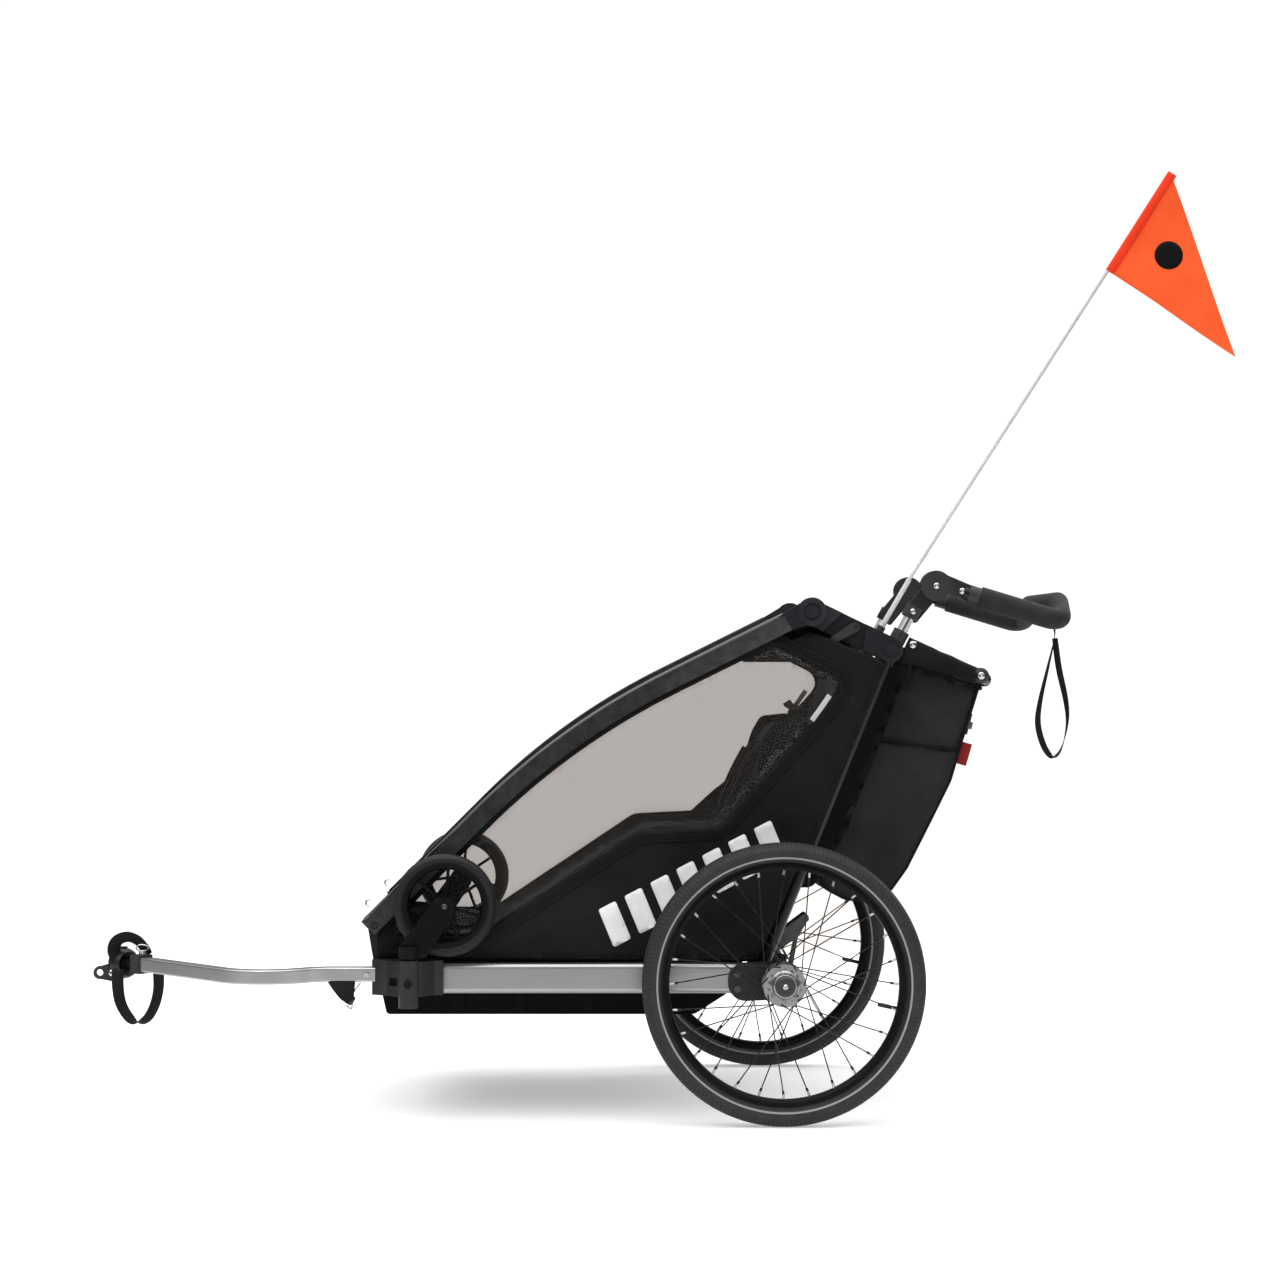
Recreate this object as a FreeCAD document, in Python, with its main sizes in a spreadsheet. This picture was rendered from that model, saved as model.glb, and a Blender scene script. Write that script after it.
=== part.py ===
import FreeCAD, Part

# Two-seat child bicycle trailer as a parametric document, in millimetres.
# +X points forward to the tow hitch, +Y to the left, +Z up, and the ground is z = 0.
# Every piece is drawn with the wheel axle at x = 0; frame_x then moves all of them so
# that the origin lies under the middle of the whole trailer.

import math
import os

from FreeCAD import Placement, Rotation, Vector

doc = FreeCAD.newDocument("ChildTrailer")
sheet = doc.addObject("Spreadsheet::Sheet", "Sizes")

DRIVING_SIZES = [
    ("frame_x", -215.5, "from the middle of the trailer back to the wheel axle"),
    # main wheels
    ("wheel_y", 385, "middle plane of a main wheel"),
    ("axle_z", 245, "height of the main axle"),
    ("tyre_radius", 245, "20 inch tyre, outside"),
    ("tyre_half_width", 22, "half the tyre's width"),
    ("rim_radius", 209, "outside of the rim flanges"),
    ("rim_half_width", 12, "half the rim's width"),
    ("flange_radius", 37, "hub flange"),
    ("flange_offset", 24, "wheel plane to a hub flange"),
    ("spoke_radius", 1.1, "spoke wire"),
    ("nipple_radius", 2.2, "spoke nipple"),
    ("axle_radius", 6, "quick release axle"),
    ("hub_cap_radius", 17.5, "black cap on the outer end of the axle"),
    ("axle_button_radius", 4.5, "push button that frees the axle"),
    ("running_gap", 0.1, "radial gap round anything that turns or slides"),
    # ladder frame
    ("rail_inner_y", 299, "inside face of a side rail"),
    ("rail_outer_y", 325, "outside face of a side rail"),
    ("rail_bottom_z", 222, "underside of a side rail"),
    ("rail_top_z", 275, "top of a side rail"),
    ("rail_back_x", 60, "back end of a side rail"),
    ("rail_front_x", 590, "front end of a side rail"),
    ("tube_wall", 2.5, "wall of the aluminium tubes"),
    ("cross_tube_radius", 14, "axle beam"),
    ("front_tube_radius", 12, "front cross tube"),
    ("bracket_front_x", 714, "front face of a corner bracket"),
    ("bracket_inner_y", 295, "inside face of a corner bracket"),
    ("bracket_outer_y", 348, "outside face of a corner bracket"),
    ("cheek_outer_y", 331, "outside face of the axle bracket"),
    ("bolt_shank_radius", 3, "frame bolt"),
    ("bolt_head_radius", 6, "frame bolt head"),
    # stowed castors
    ("castor_x", 586, "castor wheel centre"),
    ("castor_z", 378, "castor wheel centre"),
    ("castor_y", 346, "castor wheel middle plane"),
    ("castor_radius", 89, "castor tyre, outside"),
    ("castor_rim_radius", 74, "castor rim, outside"),
    ("castor_half_width", 15, "half the castor tyre's width"),
    ("stem_x", 648, "castor stem axis"),
    ("stem_y", 376, "castor stem axis"),
    ("stem_radius", 12, "castor stem"),
    ("swivel_stud_radius", 7, "stud on top of the stem"),
    ("boss_radius", 17, "socket for the stem"),
    ("castor_axle_radius", 4.5, "castor axle"),
    ("castor_button_radius", 7, "button that frees the stem"),
    # arch, uprights and link
    ("arch_inner_y", 303, "inside face of an arch bar"),
    ("arch_outer_y", 321, "outside face of an arch bar"),
    ("arch_depth", 33, "depth of an arch bar in side view"),
    ("arch_pivot_x", 711, "arch pivot"),
    ("arch_pivot_z", 341, "arch pivot"),
    ("arch_end_x", -53, "back end of the arch"),
    ("arch_end_z", 888, "back end of the arch"),
    ("arch_cap_radius", 25, "round end fitting of the arch"),
    ("pivot_radius", 7, "pivot studs of the folding frame"),
    ("upright_y", 272, "middle plane of an upright"),
    ("upright_radius", 12.5, "upright tube"),
    ("upright_foot_x", 38, "pivot at the foot of the uprights"),
    ("upright_foot_z", 252, "pivot at the foot of the uprights"),
    ("upright_top_x", -192, "pivot at the top of the uprights"),
    ("upright_top_z", 821, "pivot at the top of the uprights"),
    ("upright_eye_radius", 16, "eye at the foot of an upright"),
    ("knuckle_radius", 21, "knuckle at the top of an upright"),
    ("link_inner_y", 286, "inside face of a link plate"),
    ("link_web_y", 292.5, "outside face of the thin middle of a link plate"),
    ("link_outer_y", 301.5, "outside face of a link plate"),
    ("link_half_depth", 22, "half the depth of a link plate"),
    ("link_tube_radius", 9, "tube between the two link plates"),
    ("link_boss_radius", 21, "ringed boss over the pivot of a link plate"),
    ("lever_stud_radius", 4, "stud that carries a lock lever"),
    ("arch_cross_radius", 8, "cross bar of the front arch"),
    ("brace_radius", 9, "cross bar between the uprights"),
    ("boot_bar_radius", 9.5, "bar that holds the luggage bag open"),
    # push handle
    ("stem_side_y", 243.5, "middle plane of a handle stem"),
    ("handle_stem_radius", 9.5, "handle stem tube"),
    ("socket_radius", 14.5, "socket of a handle stem"),
    ("hinge_x", -276.5, "handle hinge"),
    ("hinge_z", 934.5, "handle hinge"),
    ("hinge_radius", 27, "handle hinge housing"),
    ("hinge_inner_y", 229, "inside face of the lower hinge half"),
    ("hinge_split_y", 243.5, "face where the hinge halves meet"),
    ("hinge_outer_y", 258.5, "outside face of the upper hinge half"),
    ("hinge_stud_radius", 6, "stud through both hinge halves"),
    ("handle_bar_radius", 12, "push bar tube"),
    ("bar_collar_radius", 16, "collar of a hinge arm round the push bar"),
    ("grip_radius", 19, "foam grip"),
    # flag
    ("flag_y", 268, "plane of the flag"),
    ("pole_foot_radius", 4.5, "aluminium foot of the flag pole"),
    ("pole_radius", 3, "flag pole"),
    ("flag_length", 203, "flag along the pole"),
    # soft goods and tub
    ("panel_inner_y", 304.5, "inside face of a side panel"),
    ("panel_outer_y", 310, "outside face of a side panel"),
    ("window_outer_y", 307, "outside face of a side window"),
    ("cover_half_width", 301, "half the width of the roof"),
    ("cover_thickness", 4, "roof and front window"),
    ("tub_half_width", 254, "outside of the floor tub"),
    ("tub_wall", 4, "floor tub wall"),
    ("seat_half_width", 246, "half the width of the seat"),
    ("bag_half_width", 226, "half the width of the luggage bag"),
    ("bag_wall", 4, "luggage bag wall"),
    # brake
    ("brake_shaft_radius", 5, "shaft that turns both pawls"),
    ("brake_shaft_x", -32, "brake shaft"),
    ("brake_shaft_z", 228, "brake shaft"),
    ("brake_ring_radius", 25, "toothed ring on the hub"),
    # drawbar and hitch
    ("drawbar_side", 25, "square drawbar tube"),
    ("drawbar_y", 330, "drawbar at the corner bracket"),
    ("drawbar_z", 257, "drawbar middle height"),
    ("hitch_x", 1180.3, "middle of the hitch cup"),
    ("hitch_y", 116.6, "middle of the hitch cup"),
    ("hitch_z", 254, "middle of the hitch cup"),
    ("hitch_cup_radius", 28, "hitch cup"),
    ("hitch_ball_radius", 10, "ball inside the hitch cup"),
    ("eye_x", 1223, "hitch eye"),
    ("eye_z", 237, "hitch eye"),
    ("eye_hole_radius", 6, "hole for the bicycle's rear axle"),
    ("eye_radius", 12, "hitch eye, outside"),
    ("arm_half_thickness", 3, "half the thickness of the hitch arm"),
    ("arm_shoulder_half", 17, "half the height of the hitch arm at its rivet"),
    ("rivet_radius", 3, "rivet of the hitch arm and shank of the hitch pin"),
    ("hitch_neck_radius", 6.5, "neck between the hitch block and the ball"),
    ("yaw_cap_radius", 7, "round cap on top of the hitch cup"),
    ("snap_button_radius", 4.5, "snap button on the drawbar"),
]
for row, (alias, value, meaning) in enumerate(DRIVING_SIZES, start=1):
    sheet.set(f"A{row}", str(value))
    sheet.setAlias(f"A{row}", alias)
    sheet.set(f"B{row}", meaning)
doc.recompute()


def size(alias):
    """The value of one driving size, read from the sheet."""
    return float(sheet.get(alias))


# ---------------------------------------------------------------- drawing helpers

def rounded_lines(corners, closed):
    """Straight lines joined by arcs. Each corner is (point, radius of its bend)."""
    count = len(corners)
    bends = []
    for index, (corner, radius) in enumerate(corners):
        at_end = not closed and index in (0, count - 1)
        if radius == 0 or at_end:
            bends.append((corner, None, corner))
            continue
        back = (corners[index - 1][0] - corner).normalize()
        ahead = (corners[(index + 1) % count][0] - corner).normalize()
        half_angle = back.getAngle(ahead) / 2
        reach = radius / math.tan(half_angle)
        middle = corner + (back + ahead).normalize() * (radius / math.sin(half_angle) - radius)
        bends.append((corner + back * reach, middle, corner + ahead * reach))
    lines = []
    for index, (start, middle, end) in enumerate(bends):
        if middle is not None:
            lines.append(Part.Arc(start, middle, end))
        following = bends[(index + 1) % count][0]
        is_last = index == count - 1
        if (closed or not is_last) and (following - end).Length > 1e-6:
            lines.append(Part.LineSegment(end, following))
    return lines


def flat_corners(outline):
    """Corners of a flat outline given as (u, v) or (u, v, bend radius)."""
    return [(Vector(c[0], c[1], 0), c[2] if len(c) > 2 else 0) for c in outline]


def draw(sketch, outline):
    for line in rounded_lines(flat_corners(outline), closed=True):
        sketch.addGeometry(line, False)


def draw_circle(sketch, u, v, radius):
    sketch.addGeometry(Part.Circle(Vector(u, v, 0), Vector(0, 0, 1), radius), False)


def new_sketch(body, name, role):
    """An empty sketch on one of the body's own origin planes."""
    sketch = body.newObject("Sketcher::SketchObject", name)
    plane = next(p for p in body.Origin.OriginFeatures if p.Role == role)
    sketch.AttachmentSupport = [(plane, "")]
    sketch.MapMode = "FlatFace"
    return sketch


def plate(name, outline, inner, outer, holes=(), openings=()):
    """A plate standing in the XZ plane, from y = inner to y = outer (sheet expressions)."""
    body = doc.addObject("PartDesign::Body", name)
    sketch = new_sketch(body, name + "_outline", "XZ_Plane")
    sketch.setExpression("AttachmentOffset.Base.z", f"-({outer})")
    draw(sketch, outline)
    for hole in holes:
        draw_circle(sketch, *hole)
    for opening in openings:
        draw(sketch, opening)
    pad = body.newObject("PartDesign::Pad", name + "_pad")
    pad.Profile = sketch
    pad.setExpression("Length", f"({outer}) - ({inner})")
    body.Tip = pad
    return body


def slab(name, outline, bottom, top, holes=()):
    """A flat slab lying in the XY plane, from z = bottom to z = top (sheet expressions)."""
    body = doc.addObject("PartDesign::Body", name)
    sketch = new_sketch(body, name + "_outline", "XY_Plane")
    sketch.setExpression("AttachmentOffset.Base.z", bottom)
    draw(sketch, outline)
    for hole in holes:
        draw_circle(sketch, *hole)
    pad = body.newObject("PartDesign::Pad", name + "_pad")
    pad.Profile = sketch
    pad.setExpression("Length", f"({top}) - ({bottom})")
    body.Tip = pad
    return body


def turned(name, profile, x, y, z):
    """A ring or disc turned about a line along Y; the profile is (along Y, radius) pairs."""
    body = doc.addObject("PartDesign::Body", name)
    sketch = new_sketch(body, name + "_profile", "YZ_Plane")
    sketch.setExpression("AttachmentOffset.Base.x", y)
    sketch.setExpression("AttachmentOffset.Base.y", z)
    sketch.setExpression("AttachmentOffset.Base.z", x)
    draw(sketch, profile)
    turn = body.newObject("PartDesign::Revolution", name + "_turn")
    turn.Profile = sketch
    turn.ReferenceAxis = (sketch, ["H_Axis"])
    turn.Angle = 360
    body.Tip = turn
    return body


def rod(name, start, end, radius):
    """A round bar between two points; its radius is a sheet expression."""
    start = Vector(*start)
    span = Vector(*end) - start
    piece = doc.addObject("Part::Cylinder", name)
    piece.setExpression("Radius", radius)
    piece.Height = span.Length
    piece.Placement = Placement(start, Rotation(Vector(0, 0, 1), span))
    return piece


def block(name, low, high):
    """A box between two corners."""
    piece = doc.addObject("Part::Box", name)
    piece.Length, piece.Width, piece.Height = (high[i] - low[i] for i in range(3))
    piece.Placement.Base = Vector(*low)
    return piece


def ball(name, centre, radius):
    piece = doc.addObject("Part::Sphere", name)
    piece.setExpression("Radius", radius)
    piece.Placement.Base = Vector(*centre)
    return piece


def bent_bar(name, points, bend, radius):
    """A round bar that follows points in space, with the same bend at every corner."""
    corners = [(Vector(*point), bend) for point in points]
    lines = rounded_lines(corners, closed=False)
    path = doc.addObject("Part::Feature", name + "_path")
    path.Shape = Part.Wire([line.toShape() for line in lines])
    section = doc.addObject("Part::Circle", name + "_section")
    section.setExpression("Radius", radius)
    start = corners[0][0]
    section.Placement = Placement(start, Rotation(Vector(0, 0, 1), corners[1][0] - start))
    sweep = doc.addObject("Part::Sweep", name)
    sweep.Sections = [section]
    sweep.Spine = (path, [f"Edge{index}" for index in range(1, len(lines) + 1)])
    sweep.Solid = True
    return sweep


def fuse(name, *pieces):
    joined = doc.addObject("Part::MultiFuse", name)
    joined.Shapes = list(pieces)
    return joined


def cut(name, base, *tools):
    tool = tools[0] if len(tools) == 1 else fuse(name + "_tools", *tools)
    result = doc.addObject("Part::Cut", name)
    result.Base = base
    result.Tool = tool
    return result


def mirrored(piece):
    """The same piece on the other side of the trailer's middle plane."""
    twin = doc.addObject("Part::Mirroring", piece.Name + "_twin")
    twin.Source = piece
    twin.Normal = Vector(0, 1, 0)
    return twin


sub_parts = []


def sub_part(label, *pieces):
    """Registers finished pieces as one named sub-part and sets it in the final frame."""
    group = doc.addObject("Part::Compound", "Node_" + label)
    group.Label = label
    group.Links = list(pieces)
    group.setExpression("Placement.Base.x", "Sizes.frame_x")
    sub_parts.append(group)


def pair(label, piece):
    """One sub-part that holds the piece and its mirror twin."""
    sub_part(label, piece, mirrored(piece))


def left_and_right(label, *pieces):
    """Two sub-parts, left_ and right_, for pieces that move on their own."""
    sub_part("left_" + label, *pieces)
    sub_part("right_" + label, *[mirrored(piece) for piece in pieces])


def point_along(start, end, distance):
    """The point at a distance from start towards end, both (x, z) pairs."""
    length = math.dist(start, end)
    share = distance / length
    return (start[0] + (end[0] - start[0]) * share, start[1] + (end[1] - start[1]) * share)


def beside(start, end, point, offset):
    """A point moved square to the line from start to end, to its right-hand side."""
    length = math.dist(start, end)
    return (point[0] + (end[1] - start[1]) / length * offset,
            point[1] - (end[0] - start[0]) / length * offset)


# ---------------------------------------------------------------- main wheels

def make_tyre():
    radius = size("tyre_radius")
    half = size("tyre_half_width")
    bead = size("rim_half_width") - 2.7
    flange = size("rim_radius")
    groove = radius - 3
    profile = [
        (-bead, flange - 3), (-bead, flange + 1), (-half, flange + 8, 8), (-half, radius - 13, 10),
        (-16, radius - 4), (-11, radius - 1.5), (-10, groove), (-8, groove), (-7, radius - 0.5),
        (-1.5, radius), (-1, groove + 1), (1, groove + 1), (1.5, radius),
        (7, radius - 0.5), (8, groove), (10, groove), (11, radius - 1.5), (16, radius - 4),
        (half, radius - 13, 10), (half, flange + 8, 8), (bead, flange + 1), (bead, flange - 3),
        (bead - 3, flange - 3), (bead - 3, flange + 4), (half - 4, flange + 11, 6),
        (half - 4, radius - 15, 8), (0, radius - 6, 12), (4 - half, radius - 15, 8),
        (4 - half, flange + 11, 6), (3 - bead, flange + 4), (3 - bead, flange - 3),
    ]
    return turned("tyre", profile, "0", "Sizes.wheel_y", "Sizes.axle_z")


def make_rim():
    flange = size("rim_radius")
    half = size("rim_half_width")
    lip = half - 2.2
    profile = [
        (-half, flange), (-half, flange - 6, 2), (-half + 3, flange - 11, 3),
        (half - 3, flange - 11, 3), (half, flange - 6, 2), (half, flange),
        (lip, flange), (lip, flange - 3.5), (-lip, flange - 3.5), (-lip, flange),
    ]
    return turned("rim", profile, "0", "Sizes.wheel_y", "Sizes.axle_z")


SPOKES_PER_FLANGE = 14
SPOKE_HOLE_RADIUS = 33
SPOKE_SWEEP_DEGREES = 62
BRAKE_NOTCHES = 12
BRAKE_NOTCH_START = 18


def make_spoke(index):
    """One spoke with its nipple and bent head; index counts all spokes of the wheel."""
    side = 1 if index % 2 else -1
    outside_flange = (index // 2) % 2 == 0
    step = 360 / (2 * SPOKES_PER_FLANGE)
    rim_angle = math.radians(index * step)
    sweep = math.radians(SPOKE_SWEEP_DEGREES if outside_flange else -SPOKE_SWEEP_DEGREES)
    hub_angle = rim_angle + sweep
    flange = size("flange_offset")
    lift = 4.3 if outside_flange else -2.9
    hub_y = size("wheel_y") + side * (flange + lift)
    face_y = size("wheel_y") + side * (flange + (1.5 if outside_flange else -1.5))
    rim_y = size("wheel_y") + side * 3
    end_radius = size("rim_radius") - 11.9
    nipple_length = 14

    def on_wheel(radius, angle, y):
        return (radius * math.cos(angle), y, size("axle_z") + radius * math.sin(angle))

    hub_end = Vector(*on_wheel(SPOKE_HOLE_RADIUS, hub_angle, hub_y))
    rim_end = Vector(*on_wheel(end_radius, rim_angle, rim_y))
    nipple_start = rim_end + (hub_end - rim_end).normalize() * nipple_length
    name = f"spoke_{index}"
    wire = rod(name + "_wire", hub_end, rim_end, "Sizes.spoke_radius")
    nipple = rod(name + "_nipple", nipple_start, rim_end, "Sizes.nipple_radius")
    head = rod(name + "_head", on_wheel(SPOKE_HOLE_RADIUS, hub_angle, face_y), hub_end,
               "Sizes.spoke_radius")
    elbow = ball(name + "_elbow", hub_end, "Sizes.spoke_radius")
    return fuse(name, wire, nipple, head, elbow)


def make_hub():
    flange = size("flange_offset")
    bore = size("axle_radius") + size("running_gap")
    ring = size("brake_ring_radius")
    wide = size("flange_radius")
    profile = [
        (-50, bore), (-50, ring), (-43, ring), (-43, 14), (-flange - 3, 16),
        (-flange - 1.5, 22), (-flange - 1.5, wide), (-flange + 1.5, wide), (-flange + 1.5, 22),
        (-flange + 5, 17), (flange - 5, 17), (flange - 1.5, 22), (flange - 1.5, wide),
        (flange + 1.5, wide), (flange + 1.5, 26), (flange + 4, 23, 1), (38, 20, 2), (38, bore),
    ]
    shell = turned("hub_shell", profile, "0", "Sizes.wheel_y", "Sizes.axle_z")
    holes = []
    middle = Vector(0, size("wheel_y"), size("axle_z"))
    for index in range(SPOKES_PER_FLANGE):
        angle = 2 * math.pi * (index + 0.5) / SPOKES_PER_FLANGE
        spot = middle + Vector(math.cos(angle), 0, math.sin(angle)) * 27.5
        holes.append(rod(f"hub_hole_{index}", spot + Vector(0, -flange - 5, 0),
                         spot + Vector(0, flange + 5, 0), "Sizes.spoke_radius * 2.2"))
    for index in range(BRAKE_NOTCHES):
        angle = math.radians(BRAKE_NOTCH_START + 360 / BRAKE_NOTCHES * index)
        low_corner = (-3.2, -4, -6)
        notch = block(f"brake_notch_{index}", low_corner, (3.2, 4.1, 6))
        spot = Vector(math.cos(angle), 0, math.sin(angle)) * (ring + 1)
        spot = spot + Vector(0, size("wheel_y") - 47, size("axle_z"))
        turn = Rotation(Vector(0, 1, 0), 90 - math.degrees(angle))
        notch.Placement = Placement(spot, turn).multiply(Placement(Vector(*low_corner), Rotation()))
        holes.append(notch)
    return cut("hub", shell, *holes)


def make_axle_pin():
    radius = size("axle_radius")
    cap = size("hub_cap_radius")
    well = size("axle_button_radius") + size("running_gap")
    profile = [
        (-110, 0), (-110, radius - 1.5), (-108, radius), (38.3, radius), (38.3, cap - 0.5, 0.3),
        (43, cap, 1.5), (45, cap - 3, 1.5), (45, well), (35, well), (35, 0),
    ]
    return turned("axle_pin", profile, "0", "Sizes.wheel_y", "Sizes.axle_z")


def make_axle_button():
    radius = size("axle_button_radius")
    profile = [(39, 0), (39, radius), (45.5, radius), (47, radius - 1.5, 1), (47, 0)]
    return turned("axle_button", profile, "0", "Sizes.wheel_y", "Sizes.axle_z")


def make_main_wheels():
    left_and_right("tyre", make_tyre())
    left_and_right("rim", make_rim())
    left_and_right("spokes", *[make_spoke(index) for index in range(2 * SPOKES_PER_FLANGE)])
    left_and_right("hub", make_hub())
    left_and_right("axle_pin", make_axle_pin())
    left_and_right("axle_button", make_axle_button())


# ---------------------------------------------------------------- ladder frame

def make_side_rails():
    inner, outer = size("rail_inner_y"), size("rail_outer_y")
    low, high = size("rail_bottom_z"), size("rail_top_z")
    wall = size("tube_wall")
    body = doc.addObject("PartDesign::Body", "rail")
    sketch = new_sketch(body, "rail_section", "YZ_Plane")
    sketch.setExpression("AttachmentOffset.Base.z", "Sizes.rail_back_x")
    draw(sketch, [(inner, low, 7), (outer, low, 9), (outer, high, 9), (inner, high, 7)])
    draw(sketch, [(inner + wall, low + wall, 5), (outer - wall, low + wall, 7),
                  (outer - wall, high - wall, 7), (inner + wall, high - wall, 5)])
    pad = body.newObject("PartDesign::Pad", "rail_pad")
    pad.Profile = sketch
    pad.setExpression("Length", "Sizes.rail_front_x - Sizes.rail_back_x")
    body.Tip = pad
    pair("side_rails", body)


def rect_hole(name, x_from, x_to, y, z, half):
    return block(name, (x_from, y - half, z - half), (x_to, y + half, z + half))


BRACKET_BOLTS = [(603, 236), (603, 268), (701, 231)]
CHEEK_BOLTS = [(78, 257), (78, 231), (-12, 221), (26, 221)]
SHANK_LENGTH = 5


def make_corner_brackets():
    back, front = size("rail_front_x"), size("bracket_front_x")
    inner, outer = size("bracket_inner_y"), size("bracket_outer_y")
    stem_x, stem_y = size("stem_x"), size("stem_y")
    shell = slab("bracket_shell", [
        (back, inner, 2), (front, inner, 5), (front, outer - 8, 8), (front - 26, outer + 4, 12),
        (stem_x + 20, stem_y - 6, 6), (stem_x - 20, stem_y - 6, 6), (back + 14, outer, 8),
        (back, outer - 3, 2),
    ], "Sizes.rail_bottom_z", "Sizes.rail_top_z + 7")
    boss = rod("bracket_boss", (stem_x, stem_y, 203), (stem_x, stem_y, 285), "Sizes.boss_radius")
    lug = plate("bracket_lug", [
        (size("arch_pivot_x") - 18, 278), (size("arch_pivot_x") + 3, 278),
        (size("arch_pivot_x") + 16, size("arch_pivot_z") + 16, 13),
        (size("arch_pivot_x") - 18, size("arch_pivot_z") + 16, 13),
    ], "Sizes.arch_inner_y - 11", "Sizes.arch_inner_y - 1")
    pivot_x, pivot_z = size("arch_pivot_x"), size("arch_pivot_z")
    pivot = rod("bracket_pivot", (pivot_x, size("arch_inner_y") - 6, pivot_z),
                (pivot_x, size("arch_outer_y") - 2, pivot_z), "Sizes.pivot_radius")
    body = fuse("bracket_body", shell, boss, lug, pivot)
    channel = size("drawbar_side") / 2 + 0.3
    receiver = rect_hole("bracket_channel", back + 8, front + 10, size("drawbar_y"),
                         size("drawbar_z"), channel)
    bore = rod("bracket_bore", (stem_x, stem_y, 200), (stem_x, stem_y, 290),
               "Sizes.stem_radius + Sizes.running_gap")
    button_hole = rod("bracket_button_hole", (stem_x, stem_y, 246), (stem_x, stem_y + 30, 246),
                      "Sizes.castor_button_radius + Sizes.running_gap")
    recess = block("bracket_recess", (668, outer - 2, 240), (682, outer + 30, 254))
    holes = []
    for index, (x, z) in enumerate(BRACKET_BOLTS):
        holes.append(rod(f"bracket_bolt_hole_{index}", (x, inner - 5, z),
                         (x, inner + SHANK_LENGTH + 1, z),
                         "Sizes.bolt_shank_radius + Sizes.running_gap"))
    pair("corner_brackets", cut("bracket", body, receiver, bore, button_hole, recess, *holes))


def make_axle_brackets():
    back, front = -26, size("rail_back_x")
    inner, face = size("rail_inner_y"), size("cheek_outer_y")
    core = plate("axle_block", [
        (back, 214, 6), (front, 214), (front, 276), (back + 14, 276, 8), (back, 262, 6),
    ], "Sizes.rail_inner_y", "Sizes.rail_outer_y")
    cheek = plate("axle_cheek", [
        (back, 214, 6), (front, 210, 4), (front + 34, 211, 30), (front + 34, 277, 30),
        (back + 14, 277, 8), (back, 262, 6),
    ], "Sizes.rail_outer_y", "Sizes.cheek_outer_y")
    stud = rod("axle_stud", (size("upright_foot_x"), inner + 5, size("upright_foot_z")),
               (size("upright_foot_x"), size("upright_y") - 11, size("upright_foot_z")),
               "Sizes.pivot_radius")
    body = fuse("axle_bracket_body", core, cheek, stud)
    bore = rod("axle_bore", (0, inner - 5, size("axle_z")), (0, face + 5, size("axle_z")),
               "Sizes.axle_radius + Sizes.running_gap")
    holes = [rod(f"cheek_hole_{index}", (x, face - SHANK_LENGTH - 1, z), (x, face + 5, z),
                 "Sizes.bolt_shank_radius + Sizes.running_gap")
             for index, (x, z) in enumerate(CHEEK_BOLTS)]
    pair("axle_brackets", cut("axle_bracket", body, bore, *holes))


def make_bolt(name, x, z, face_y, outward):
    """A button head bolt with its head on a face; outward is +1 or -1 along Y."""
    head = rod(name + "_head", (x, face_y, z), (x, face_y + outward * 3.5, z),
               "Sizes.bolt_head_radius")
    shank = rod(name + "_shank", (x, face_y - outward * SHANK_LENGTH, z), (x, face_y + outward, z),
                "Sizes.bolt_shank_radius")
    recess = rod(name + "_recess", (x, face_y + outward * 2, z), (x, face_y + outward * 5, z),
                 "Sizes.bolt_shank_radius * 0.9")
    return cut(name, fuse(name + "_body", head, shank), recess)


def make_frame_bolts():
    bolts = []
    for index, (x, z) in enumerate(CHEEK_BOLTS):
        bolts.append(make_bolt(f"cheek_bolt_{index}", x, z, size("cheek_outer_y"), 1))
    for index, (x, z) in enumerate(BRACKET_BOLTS):
        bolts.append(make_bolt(f"bracket_bolt_{index}", x, z, size("bracket_inner_y"), -1))
    sub_part("frame_bolts", *bolts, *[mirrored(bolt) for bolt in bolts])


def make_cross_tubes():
    """The axle beam, with bearing lugs for the brake shaft, and the front cross tube."""
    half_beam = size("rail_inner_y")
    half_front = size("bracket_inner_y")
    beam = rod("beam_outside", (0, -half_beam, size("axle_z")), (0, half_beam, size("axle_z")),
               "Sizes.cross_tube_radius")
    lugs = []
    for index, y in enumerate((-200, -30, 30, 200)):
        lugs.append(plate(f"beam_lug_{index}", [
            (size("brake_shaft_x") - 9, size("brake_shaft_z") - 9, 8.9), (0, 233), (0, 247),
            (size("brake_shaft_x") - 9, size("brake_shaft_z") + 9, 8.9)], f"{y - 4}", f"{y + 4}"))
    body = fuse("beam_body", beam, *lugs)
    hollow = rod("beam_hollow", (0, -half_beam - 5, size("axle_z")), (0, half_beam + 5, size("axle_z")),
                 "Sizes.cross_tube_radius - Sizes.tube_wall")
    shaft_hole = rod("beam_shaft_hole", (size("brake_shaft_x"), -260, size("brake_shaft_z")),
                     (size("brake_shaft_x"), 260, size("brake_shaft_z")),
                     "Sizes.brake_shaft_radius + Sizes.running_gap")
    front_x, front_z = 701, 260
    front = rod("front_tube_outside", (front_x, -half_front, front_z), (front_x, half_front, front_z),
                "Sizes.front_tube_radius")
    front_hollow = rod("front_tube_hollow", (front_x, -half_front - 1, front_z),
                       (front_x, half_front + 1, front_z), "Sizes.front_tube_radius - Sizes.tube_wall")
    sub_part("cross_tubes", cut("axle_beam", body, hollow, shaft_hole),
             cut("front_tube", front, front_hollow))


# ---------------------------------------------------------------- castors

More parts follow.
